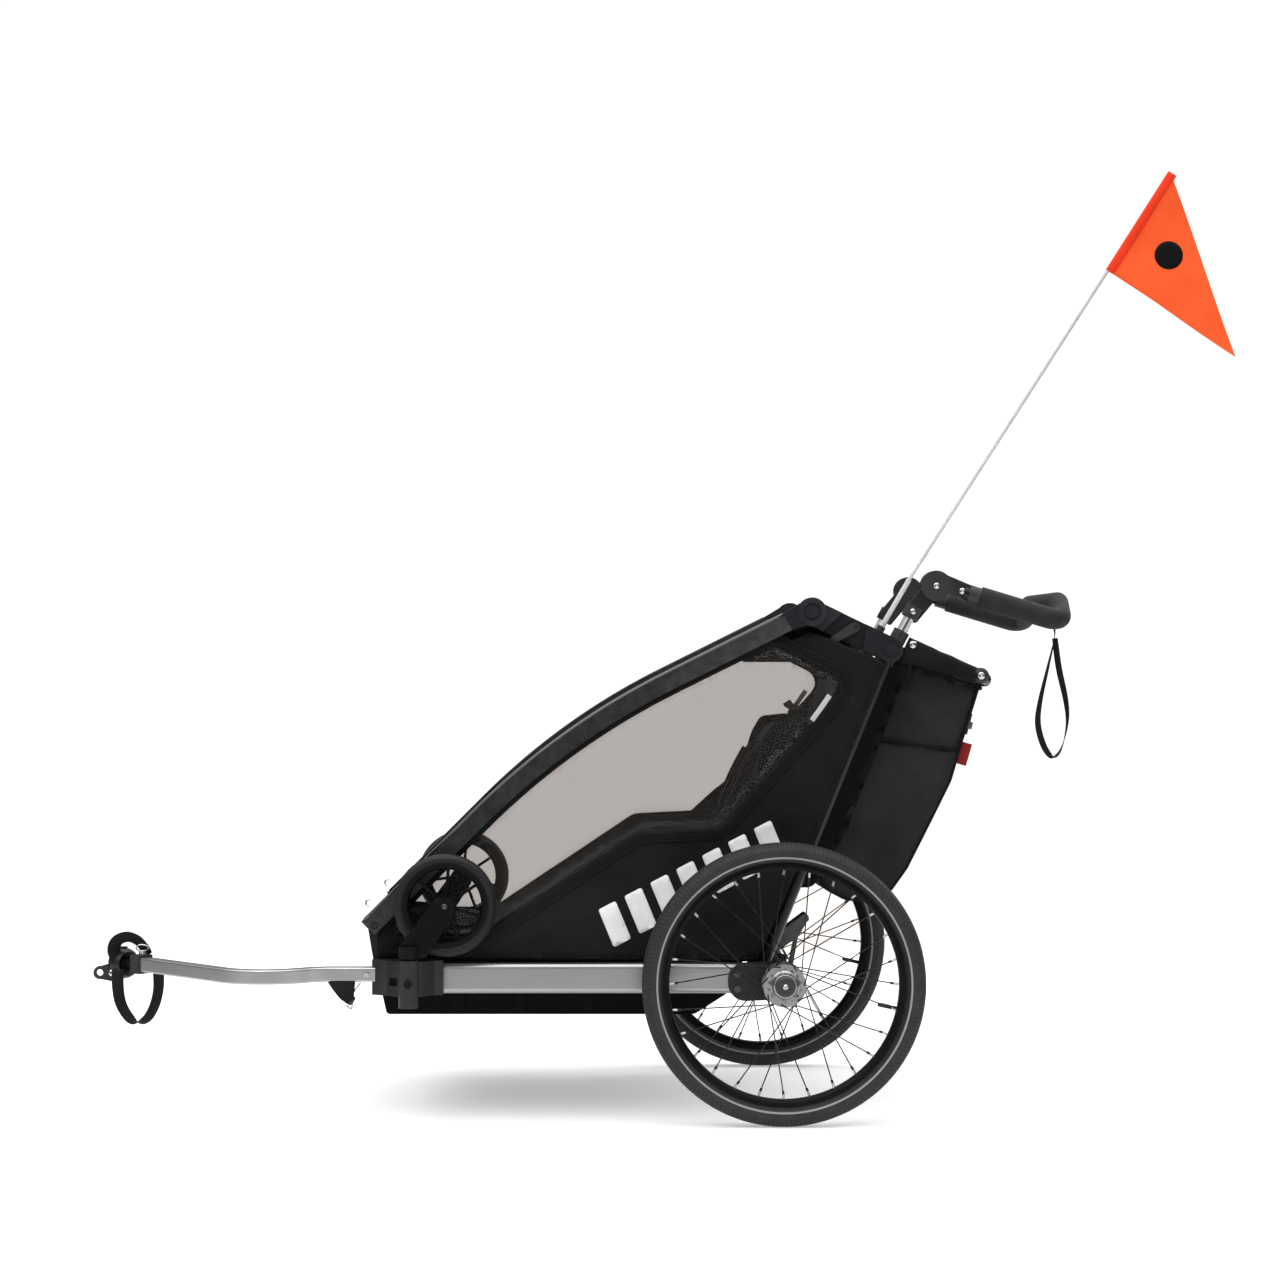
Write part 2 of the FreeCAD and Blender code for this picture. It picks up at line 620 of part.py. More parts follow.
def make_castor():
    x, y, z = size("castor_x"), size("castor_y"), size("castor_z")
    rim, outside, half = size("castor_rim_radius"), size("castor_radius"), size("castor_half_width")
    tyre = turned("castor_tyre", [
        (-half + 3, rim), (-half, rim + 3, 2), (-half, outside - 6, 5), (-7, outside, 6),
        (7, outside, 6), (half, outside - 6, 5), (half, rim + 3, 2), (half - 3, rim),
    ], "Sizes.castor_x", "Sizes.castor_y", "Sizes.castor_z")
    left_and_right("castor_tyre", tyre)
    ring = turned("castor_ring", [
        (-half + 3, rim), (-half + 1, rim - 9, 2), (-6, rim - 11), (6, rim - 11),
        (half - 1, rim - 9, 2), (half - 3, rim),
    ], "Sizes.castor_x", "Sizes.castor_y", "Sizes.castor_z")
    bore = size("castor_axle_radius") + size("running_gap")
    hub = turned("castor_hub", [(-half, bore), (-half, 13, 1), (half, 13, 1), (half, bore)],
                 "Sizes.castor_x", "Sizes.castor_y", "Sizes.castor_z")
    spokes = []
    spoke_count = 7
    first_spoke = -95
    for index in range(spoke_count):
        low_corner = (10, -5, -2.6)
        spoke = block(f"castor_spoke_{index}", low_corner, (rim - 8, 5, 2.6))
        turn = Rotation(Vector(0, 1, 0), first_spoke - index * 360 / spoke_count)
        spoke.Placement = Placement(Vector(x, y, z), turn).multiply(
            Placement(Vector(*low_corner), Rotation()))
        spokes.append(spoke)
    left_and_right("castor_wheel", fuse("castor_wheel", ring, hub, *spokes))
    stem_x, stem_y = size("stem_x"), size("stem_y")
    arm = plate("fork_arm", [
        (x - 15, z + 15, 14.9), (x + 15, z + 15, 14.9), (stem_x + 18, 306, 4), (stem_x + 18, 289, 4),
        (stem_x - 30, 289, 8), (x - 16, z - 14, 20)], "Sizes.castor_y + 16.5", "Sizes.castor_y + 27")
    knuckle = rod("fork_knuckle", (stem_x, stem_y, 289), (stem_x, stem_y, 308), "Sizes.stem_radius + 3.5")
    axle = rod("fork_axle", (x, y - 14, z), (x, y + 20, z), "Sizes.castor_axle_radius")
    spacer = rod("fork_spacer", (x, y + half + 0.3, z), (x, y + 20, z), "Sizes.castor_axle_radius * 2")
    screw = rod("fork_screw", (x, y + 26, z), (x, y + 29, z), "Sizes.castor_axle_radius * 1.5")
    swivel = rod("fork_swivel", (stem_x, stem_y, 280), (stem_x, stem_y, 304.2),
                 "Sizes.swivel_stud_radius + Sizes.running_gap")
    fork = fuse("fork_body", arm, knuckle, axle, spacer, screw)
    left_and_right("castor_fork", cut("castor_fork", fork, swivel))
    tube = rod("stem_tube", (stem_x, stem_y, 216), (stem_x, stem_y, 288.5), "Sizes.stem_radius")
    stud = rod("stem_stud", (stem_x, stem_y, 286), (stem_x, stem_y, 303.5), "Sizes.swivel_stud_radius")
    left_and_right("castor_stem", fuse("castor_stem", tube, stud))
    button = rod("castor_button", (stem_x, stem_y + 15.4, 246), (stem_x, stem_y + 20.5, 246),
                 "Sizes.castor_button_radius")
    left_and_right("castor_button", button)


# ---------------------------------------------------------------- arch, uprights, link

LOWER_ROOF_SLOPE = math.radians(45)
UPPER_ROOF_SLOPE = math.radians(26.5)
ROOF_BEND_RADIUS = 1300
ROOF_KNEE = (393, 688)
NOSE_REACH = 482
REAR_REACH = 493


def roof_line(depth, front_reach, back_reach):
    """The roof's side line, a depth below the arch's top: front, knee with its bend, back."""
    down_lower = (-math.sin(LOWER_ROOF_SLOPE), -math.cos(LOWER_ROOF_SLOPE))
    down_upper = (-math.sin(UPPER_ROOF_SLOPE), -math.cos(UPPER_ROOF_SLOPE))
    turn = LOWER_ROOF_SLOPE - UPPER_ROOF_SLOPE
    mitre = depth / math.cos(turn / 2)
    middle = (LOWER_ROOF_SLOPE + UPPER_ROOF_SLOPE) / 2
    knee = (ROOF_KNEE[0] - math.sin(middle) * mitre, ROOF_KNEE[1] - math.cos(middle) * mitre)
    front = (ROOF_KNEE[0] + math.cos(LOWER_ROOF_SLOPE) * front_reach + down_lower[0] * depth,
             ROOF_KNEE[1] - math.sin(LOWER_ROOF_SLOPE) * front_reach + down_lower[1] * depth)
    back = (ROOF_KNEE[0] - math.cos(UPPER_ROOF_SLOPE) * back_reach + down_upper[0] * depth,
            ROOF_KNEE[1] + math.sin(UPPER_ROOF_SLOPE) * back_reach + down_upper[1] * depth)
    return [front, (knee[0], knee[1], ROOF_BEND_RADIUS - depth), back]


def roof_band(top_depth, bottom_depth, front_reach, back_reach):
    """A band that follows the roof line between two depths below the arch's top."""
    upper = roof_line(top_depth, front_reach, back_reach)
    lower = roof_line(bottom_depth, front_reach, back_reach)
    return upper + lower[::-1]


def make_front_arch():
    pivot_x, pivot_z = size("arch_pivot_x"), size("arch_pivot_z")
    cap_length = 50
    bar = plate("arch_bar", roof_band(0, size("arch_depth"), NOSE_REACH, REAR_REACH - cap_length),
                "Sizes.arch_inner_y", "Sizes.arch_outer_y")
    hole = rod("arch_hole", (pivot_x, size("arch_inner_y") - 5, pivot_z),
               (pivot_x, size("arch_outer_y") + 5, pivot_z), "Sizes.pivot_radius + Sizes.running_gap")
    side = cut("arch_drilled", bar, hole)
    cross = rod("arch_cross", (645, -size("arch_inner_y"), 405), (645, size("arch_inner_y"), 405),
                "Sizes.arch_cross_radius")
    sub_part("arch_bars", fuse("arch_frame", side, mirrored(side), cross))
    end_x, end_z = size("arch_end_x"), size("arch_end_z")
    sleeve = plate("arch_sleeve", roof_sleeve(cap_length), "Sizes.arch_inner_y", "Sizes.arch_outer_y + 2")
    boss = rod("arch_boss", (end_x, size("arch_inner_y"), end_z), (end_x, size("arch_outer_y") + 3, end_z),
               "Sizes.arch_cap_radius")
    ring = rod("arch_ring", (end_x, size("arch_outer_y") + 1.5, end_z),
               (end_x, size("arch_outer_y") + 6, end_z), "Sizes.arch_cap_radius * 0.6")
    button = rod("arch_boss_button", (end_x, size("arch_outer_y"), end_z),
                 (end_x, size("arch_outer_y") + 3.5, end_z), "Sizes.arch_cap_radius * 0.44")
    cap = fuse("arch_cap", cut("arch_cap_ring", fuse("arch_cap_body", sleeve, boss), ring), button)
    pair("arch_end_caps", cap)


def roof_sleeve(length):
    """Side outline of the end fitting, from the arch bar's end to the round boss."""
    slope = UPPER_ROOF_SLOPE
    back = (-math.cos(slope), math.sin(slope))
    down = (-math.sin(slope), -math.cos(slope))
    depth = size("arch_depth")
    reach = REAR_REACH - length
    start = (ROOF_KNEE[0] + back[0] * reach, ROOF_KNEE[1] + back[1] * reach)

    def spot(along, below):
        return (start[0] + back[0] * along + down[0] * below, start[1] + back[1] * along + down[1] * below)

    return [spot(0, 0), spot(length, -4), spot(length, depth + 8), spot(0, depth)]


def make_uprights():
    foot = (size("upright_foot_x"), size("upright_foot_z"))
    top = (size("upright_top_x"), size("upright_top_z"))
    y = size("upright_y")
    half = size("upright_radius") + 0.5
    tube = rod("upright_tube", (foot[0], y, foot[1]), (top[0], y, top[1]), "Sizes.upright_radius")
    eye = rod("upright_eye", (foot[0], y - half, foot[1]), (foot[0], y + half, foot[1]),
              "Sizes.upright_eye_radius")
    knuckle = rod("upright_knuckle", (top[0], y - half, top[1]), (top[0], y + half, top[1]),
                  "Sizes.knuckle_radius")
    holes = [rod(f"upright_hole_{index}", (x, y - 30, z), (x, y + 30, z),
                 "Sizes.pivot_radius + Sizes.running_gap") for index, (x, z) in enumerate((foot, top))]
    side = cut("upright", fuse("upright_body", tube, eye, knuckle), *holes)
    low = point_along(foot, top, 520)
    brace = rod("upright_brace", (low[0], -y + half - 1, low[1]), (low[0], y - half + 1, low[1]),
                "Sizes.brace_radius")
    sub_part("rear_uprights", fuse("rear_frame", side, mirrored(side), brace))


def make_boot_frame():
    """The bar that holds the luggage bag open: two arms and a round cross bar behind."""
    y = size("stem_side_y")
    front = (-233, 829)
    back = (-368, 768)
    frame = bent_bar("boot_bar", [(front[0], y, front[1]), (back[0], y, back[1]),
                                  (back[0], -y, back[1]), (front[0], -y, front[1])], 26,
                     "Sizes.boot_bar_radius")
    sub_part("boot_frame", frame)


STEM_LEAN = math.radians(28)
STEM_SOCKET_TOP = (-217, 855)
FLAG_LEAN = math.radians(30.2)
FLAG_SOCKET_TOP = (-179.3, 862.7)


def along(lean, spot, y, distance):
    """A point at a distance up a line that leans back from a spot in the XZ plane."""
    return (spot[0] - math.sin(lean) * distance, y, spot[1] + math.cos(lean) * distance)


def along_stem(y, distance):
    return along(STEM_LEAN, STEM_SOCKET_TOP, y, distance)


def along_pole(distance):
    return along(FLAG_LEAN, FLAG_SOCKET_TOP, size("flag_y"), distance)


def make_handle_sockets():
    y = size("stem_side_y")
    depth = 66
    tube = rod("socket_tube", along_stem(y, -depth), along_stem(y, 0), "Sizes.socket_radius")
    bore = rod("socket_bore", along_stem(y, -depth), along_stem(y, 10),
               "Sizes.handle_stem_radius + Sizes.running_gap")
    left = cut("left_socket", tube, bore)
    holder_depth = 60
    holder = rod("flag_holder", along_pole(-holder_depth), along_pole(0), "Sizes.pole_foot_radius + 3")
    holder_bore = rod("flag_holder_bore", along_pole(-holder_depth), along_pole(10),
                      "Sizes.pole_foot_radius + Sizes.running_gap")
    sub_part("handle_sockets", left, mirrored(left), cut("flag_socket", holder, holder_bore))


def make_link():
    top = (size("upright_top_x"), size("upright_top_z"))
    end = (size("arch_end_x"), size("arch_end_z"))
    half = size("link_half_depth")
    length = math.dist(top, end)

    def spot(along, side):
        return beside(top, end, point_along(top, end, along), side)

    back_cap = 19
    front_cap = 19
    web = plate("link_web", [
        spot(-back_cap, -half) + (half - 3,), spot(length + front_cap, -half) + (half - 3,),
        spot(length + front_cap, half) + (half - 3,), spot(-back_cap, half) + (half - 3,),
    ], "Sizes.link_inner_y", "Sizes.link_web_y")
    rib = plate("link_rib", [
        spot(-back_cap, -half) + (half - 3,), spot(58, -half), spot(44, half),
        spot(-back_cap, half) + (half - 3,)], "Sizes.link_web_y", "Sizes.link_outer_y")
    front_rib = plate("link_front_rib", [
        spot(104, -half), spot(length + front_cap, -half) + (half - 3,),
        spot(length + front_cap, half) + (half - 3,), spot(122, half)],
        "Sizes.link_web_y", "Sizes.link_outer_y")
    boss_profile = [(-6, 0), (-6, size("link_boss_radius")), (2, size("link_boss_radius")), (2, 17.5),
                    (0.5, 16.5), (0.5, 11.5), (2, 10.5), (2, 0)]
    boss = turned("link_boss", boss_profile, "Sizes.upright_top_x", "Sizes.link_outer_y - 1",
                  "Sizes.upright_top_z")
    stud = rod("link_stud", (top[0], size("upright_y") - 11, top[1]),
               (top[0], size("link_web_y"), top[1]), "Sizes.pivot_radius")
    lever_x, lever_z = lever_pivot()
    lever_stud = rod("link_lever_stud", (lever_x, size("link_web_y") - 1, lever_z),
                     (lever_x, size("link_outer_y") - 0.5, lever_z), "Sizes.lever_stud_radius")
    hole = rod("link_hole", (end[0], size("link_inner_y") - 5, end[1]),
               (end[0], size("link_outer_y") + 5, end[1]), "Sizes.pivot_radius + 4")
    side = cut("link_side", fuse("link_body", web, rib, front_rib, boss, stud, lever_stud), hole)
    middle = spot(length * 0.42, 4)
    cross = rod("link_cross", (middle[0], -size("link_inner_y") - 1, middle[1]),
                (middle[0], size("link_inner_y") + 1, middle[1]), "Sizes.link_tube_radius")
    sub_part("link_bars", fuse("link_frame", side, mirrored(side), cross))


def lever_pivot():
    return (-131, 862)


def make_lock_levers():
    x, z = lever_pivot()
    tip = (x + 44, z - 26)
    lever = plate("lever_plate", [
        (x - 8, z - 4, 7), (x - 2, z + 9, 7), (x + 8, z + 6, 7), beside((x, z), tip, tip, -6) + (5,),
        beside((x, z), tip, tip, 6) + (5,), (x - 1, z - 9, 6)],
        "Sizes.link_web_y + 0.5", "Sizes.link_outer_y - 0.5", holes=[(x, z, 4.1)])
    left_and_right("lock_lever", lever)


# ---------------------------------------------------------------- push handle

def make_handle():
    y = size("stem_side_y")
    stem_top = 45
    stem = rod("handle_stem", along_stem(y, -62), along_stem(y, stem_top), "Sizes.handle_stem_radius")
    pair("handle_stems", stem)

    hinge = (size("hinge_x"), size("hinge_z"))
    collar_low = along_stem(y, 26)
    collar_high = along_stem(y, stem_top + 4)
    foot = (collar_low[0], collar_low[2])
    wide = 16
    lower_tongue = plate("hinge_tongue", [
        beside(foot, hinge, foot, wide) + (4,), beside(foot, hinge, foot, -wide) + (4,),
        beside(foot, hinge, hinge, -wide), beside(foot, hinge, hinge, wide)],
        "Sizes.hinge_inner_y", "Sizes.hinge_split_y - 0.5")
    lower_disc = rod("hinge_disc", (hinge[0], size("hinge_inner_y"), hinge[1]),
                     (hinge[0], size("hinge_split_y") - 0.5, hinge[1]), "Sizes.hinge_radius")
    collar = rod("hinge_collar", collar_low, collar_high, "Sizes.socket_radius")
    stem_space = rod("hinge_stem_space", along_stem(y, 0), along_stem(y, stem_top + 0.2),
                     "Sizes.handle_stem_radius + Sizes.running_gap")
    stud = rod("hinge_stud", (hinge[0], size("hinge_inner_y") + 2, hinge[1]),
               (hinge[0], size("hinge_outer_y") - 2, hinge[1]), "Sizes.hinge_stud_radius")
    base = fuse("hinge_base_body", lower_tongue, lower_disc, collar, stud)
    pair("hinge_bases", cut("hinge_base", base, stem_space))

    upper_disc = rod("arm_disc", (hinge[0], size("hinge_split_y"), hinge[1]),
                     (hinge[0], size("hinge_outer_y"), hinge[1]), "Sizes.hinge_radius")
    upper = plate("arm_plate", [
        (hinge[0], hinge[1] + 27), (-346, 932, 3), (-352, 903, 3), (hinge[0] - 22, hinge[1] - 13)],
        "Sizes.hinge_split_y", "Sizes.hinge_outer_y")
    bore = rod("arm_bore", (hinge[0], 200, hinge[1]), (hinge[0], 300, hinge[1]),
               "Sizes.hinge_stud_radius + Sizes.running_gap")
    arm_y = (size("hinge_split_y") + size("hinge_outer_y")) / 2
    bar_start = Vector(-326, arm_y, 923)
    corner = Vector(-498, arm_y, 871)
    bar_ahead = (corner - bar_start).normalize()
    collar_end = bar_start + bar_ahead * 29
    bar_space = rod("arm_bar_space", tuple(bar_start), tuple(corner), "Sizes.handle_bar_radius + 0.02")
    bar_collar = rod("arm_bar_collar", tuple(bar_start + bar_ahead * 8), tuple(collar_end),
                     "Sizes.bar_collar_radius")
    arm = fuse("arm_body", upper_disc, upper, bar_collar)
    pair("hinge_arms", cut("hinge_arm", arm, bore, bar_space))

    middle_rise = (-503, 906)
    bend = 26
    side_run = 75
    across = [tuple(corner), (middle_rise[0], arm_y - side_run, middle_rise[1]),
              (middle_rise[0], side_run - arm_y, middle_rise[1]), (corner.x, -arm_y, corner.z)]
    path = [tuple(bar_start)] + across + [(bar_start.x, -arm_y, bar_start.z)]
    sub_part("handle_bar", bent_bar("push_bar", path, bend, "Sizes.handle_bar_radius"))
    grip_start = collar_end + bar_ahead * 0.5
    grip_path = [tuple(grip_start)] + across + [(grip_start.x, -grip_start.y, grip_start.z)]
    outside = bent_bar("grip_outside", grip_path, bend, "Sizes.grip_radius")
    inside = bent_bar("grip_inside", path, bend, "Sizes.handle_bar_radius")
    sub_part("handle_grip", cut("grip", outside, inside))


def make_flag():
    y = size("flag_y")
    ferrule_end = along_pole(95.5)
    tip = (-688, 1662)
    foot_tube = rod("pole_foot", along_pole(-56), ferrule_end, "Sizes.pole_foot_radius")
    pole = rod("pole_rod", ferrule_end, (tip[0], y, tip[1]), "Sizes.pole_radius")
    sub_part("flag_pole", fuse("pole", foot_tube, pole))
    pole_low = (ferrule_end[0], ferrule_end[2])
    low = point_along(tip, pole_low, size("flag_length"))
    offset = size("pole_radius") + 0.6

    def off(spot):
        return beside(tip, pole_low, spot, offset)

    cloth = plate("flag_sheet", [off(tip), off(low), (-804, 1336)], "Sizes.flag_y - 1", "Sizes.flag_y + 1")
    sub_part("flag_cloth", cloth)


# ---------------------------------------------------------------- tub, seat and covers

def make_floor_tub():
    wall = size("tub_wall")
    top = 272
    floor = 178
    outer = plate("tub_outside", [(66, top), (66, 232, 8), (150, floor, 20), (694, floor, 8),
                                  (702, 214), (702, 236), (685, top - 26), (678, top)],
                  "-Sizes.tub_half_width", "Sizes.tub_half_width")
    inner = plate("tub_inside", [(66 + wall, top + 9), (66 + wall, 234, 8), (152, floor + wall, 16),
                                 (691, floor + wall, 6), (698, 214), (698, 235), (681, top - 28),
                                 (674, top + 9)],
                  "-Sizes.tub_half_width + Sizes.tub_wall", "Sizes.tub_half_width - Sizes.tub_wall")
    shell = cut("tub_shell", outer, inner)
    ribs = []
    for index, (x, wide) in enumerate(((557, 25), (450, 16), (330, 18), (214, 18))):
        rib = plate(f"tub_rib_{index}", [(x, floor + 2), (x + wide, floor + 2), (x + wide, 268), (x, 268)],
                    "Sizes.tub_half_width - 2", "Sizes.tub_half_width + 3")
        ribs += [rib, mirrored(rib)]
    sub_part("floor_tub", fuse("tub", shell, *ribs))


def make_seat():
    cushion_and_back = plate("seat_shell", [
        (400, 300, 16), (396, 338, 16), (196, 340, 40), (146, 508, 20), (101, 549, 18), (38, 598, 16),
        (36, 640, 12), (10, 698, 18), (-58, 702, 16), (96, 282, 30)],
        "-Sizes.seat_half_width", "Sizes.seat_half_width")
    sub_part("seat", cushion_and_back)
    backing = plate("back_sheet", [(56, 290), (62, 292), (-104, 766), (-110, 764)],
                    "-Sizes.seat_half_width", "Sizes.seat_half_width")
    sub_part("back_panel", backing)


def window_outline():
    """The side window: a long lens below the arch with a stepped lower edge."""
    top = roof_line(42, 452, 405)
    return [top[0], top[1], top[2] + (20,), (-117, 765, 26), (107.5, 510, 40), (252, 502.6, 40),
            (525, 320.5, 26), (672, 320.5, 10)]


def make_side_panels():
    edge = roof_line(size("arch_depth") + 1, NOSE_REACH - 8, REAR_REACH - 66)
    outline = [edge[0], edge[1], edge[2], (-14.6, 836.4), (-49, 853), (-84, 841), (-171, 805, 6),
               (-183, 796), (-57, 482), (-25, 430), (29, 305, 10), (40, 279), (707, 284), (707, 318)]
    panel = plate("panel_sheet", outline, "Sizes.panel_inner_y", "Sizes.panel_outer_y",
                  openings=[window_outline()])
    pair("side_panels", panel)
    film = plate("window_film", window_outline(), "Sizes.panel_inner_y", "Sizes.window_outer_y")
    pair("side_windows", film)


def make_roof():
    roof = plate("roof_sheet", roof_band(6, 10, 214, REAR_REACH - 60),
                 "-Sizes.cover_half_width", "Sizes.cover_half_width")
    sub_part("roof_cover", roof)


def make_front():
    """The clear front window and the short panel below the nose."""
    lower = LOWER_ROOF_SLOPE
    thick = size("cover_thickness")

    def spot(reach, depth):
        return (ROOF_KNEE[0] + math.cos(lower) * reach - math.sin(lower) * depth,
                ROOF_KNEE[1] - math.sin(lower) * reach - math.cos(lower) * depth)

    window = plate("front_sheet", [spot(215, 6), spot(NOSE_REACH - 40, 6),
                                   spot(NOSE_REACH - 40, 6 + thick), spot(215, 6 + thick)],
                   "-Sizes.cover_half_width", "Sizes.cover_half_width")
    sub_part("front_window", window)
    apron = plate("front_apron", [(700, 284), (708, 284), (714, 300, 10), (712, 334), (706, 334),
                                  (706, 300, 8)], "-285", "285")
    sub_part("front_panel", apron)


def make_luggage_bag():
    outer_points = [(-222, 800), (-349, 748, 14), (-323, 655, 60), (-304, 590, 60), (-271, 523, 60),
                    (-226, 434, 50), (-196, 392, 24), (-125, 376, 40), (-70, 405, 30), (-84, 470, 30)]
    outside = plate("bag_outside", outer_points, "-Sizes.bag_half_width", "Sizes.bag_half_width")
    inner_points = [(-205, 830), (-370, 764), (-344, 740), (-318, 653, 56), (-299, 588, 56),
                    (-266, 521, 56), (-222, 437, 46), (-193, 397, 20), (-126, 381, 36), (-76, 408, 26),
                    (-89, 471, 26)]
    inside = plate("bag_inside", inner_points, "-Sizes.bag_half_width + Sizes.bag_wall",
                   "Sizes.bag_half_width - Sizes.bag_wall")
    sub_part("luggage_bag", cut("bag", outside, inside))


# ---------------------------------------------------------------- brake

def on_hub_ring(degrees, radius):
    """A point of the XZ plane at an angle and a radius round the wheel axle."""
    turn = math.radians(degrees)
    return (radius * math.cos(turn), size("axle_z") + radius * math.sin(turn))


def swung(point, centre, degrees):
    """A point of the XZ plane swung about a centre; a positive turn lifts its front side."""
    turn = math.radians(degrees)
    across, up = point[0] - centre[0], point[1] - centre[1]
    return (centre[0] + across * math.cos(turn) - up * math.sin(turn),
            centre[1] + across * math.sin(turn) + up * math.cos(turn))


def make_brake():
    x, z = size("brake_shaft_x"), size("brake_shaft_z")
    pawl_y = size("wheel_y") - 46.5
    shaft = rod("brake_shaft", (x, -pawl_y - 3, z), (x, pawl_y + 3, z), "Sizes.brake_shaft_radius")
    tooth_foot = (-5.9, 217.1)
    tooth_tip = on_hub_ring(BRAKE_NOTCH_START + 240, size("brake_ring_radius") - 3.5)
    engaged = [
        beside((x, z), tooth_foot, (x, z), 2),
        beside(tooth_foot, tooth_tip, beside((x, z), tooth_foot, tooth_foot, 3), 1.6),
        beside(tooth_foot, tooth_tip, tooth_tip, 1.6), beside(tooth_foot, tooth_tip, tooth_tip, -1.6),
        beside(tooth_foot, tooth_tip, beside((x, z), tooth_foot, tooth_foot, -2), -1.6),
        beside((x, z), tooth_foot, (x, z), -2),
    ]
    released = [swung(point, (x, z), -45) for point in engaged]
    pawls = [plate(f"brake_pawl_{index}", released, f"{side * pawl_y - 2.5}", f"{side * pawl_y + 2.5}")
             for index, side in enumerate((-1, 1))]
    arm = plate("brake_arm", [(x - 5, z - 3, 3), (x + 4, z + 3), (-42, 296), (-36, 306, 4),
                              (-62, 330, 5), (-68, 322, 5), (-50, 300, 8)], "-6", "6")
    pad = plate("brake_pad", [(-37, 307, 3), (-63, 331, 3), (-69, 325, 3), (-43, 301, 3)], "-26", "26")
    sub_part("brake_pedal", fuse("brake", shaft, *pawls, arm, pad))


# ---------------------------------------------------------------- drawbar and hitch

DRAWBAR_END = (1132.7, 169)


def make_drawbar():
    side = size("drawbar_side")
    y, z = size("drawbar_y"), size("drawbar_z")
    path = [(602, y), (806, y, 90), (912, 412, 95), DRAWBAR_END]
    body = doc.addObject("PartDesign::Body", "drawbar_body")
    spine = new_sketch(body, "drawbar_path", "XY_Plane")
    spine.setExpression("AttachmentOffset.Base.z", "Sizes.drawbar_z")
    for line in rounded_lines(flat_corners(path), closed=False):
        spine.addGeometry(line, False)
    section = new_sketch(body, "drawbar_section", "YZ_Plane")
    section.setExpression("AttachmentOffset.Base.x", "Sizes.drawbar_y")
    section.setExpression("AttachmentOffset.Base.y", "Sizes.drawbar_z")
    section.setExpression("AttachmentOffset.Base.z", str(path[0][0]))
    half = side / 2
    inner = half - size("tube_wall")
    draw(section, [(-half, -half, 3), (half, -half, 3), (half, half, 3), (-half, half, 3)])
    draw(section, [(-inner, -inner, 1), (inner, -inner, 1), (inner, inner, 1), (-inner, inner, 1)])
    pipe = body.newObject("PartDesign::AdditivePipe", "drawbar_pipe")
    pipe.Profile = section
    pipe.Spine = spine
    body.Tip = pipe
    snap_x = 723
    hole = rod("snap_hole", (snap_x, y + 5, z), (snap_x, y + 25, z),
               "Sizes.snap_button_radius + Sizes.running_gap")
    sub_part("drawbar", cut("drawbar_tube", body, hole))
    button = rod("snap_button_rod", (snap_x, y + 4, z), (snap_x, y + 18, z), "Sizes.snap_button_radius")
    sub_part("snap_button", button)


def towards_hitch(distance, z):
    """A point beyond the drawbar's end, along its last straight stretch."""
    start = Vector(DRAWBAR_END[0], DRAWBAR_END[1], z)
    ahead = Vector(size("hitch_x") - DRAWBAR_END[0], size("hitch_y") - DRAWBAR_END[1], 0)
    return start + ahead.normalize() * distance


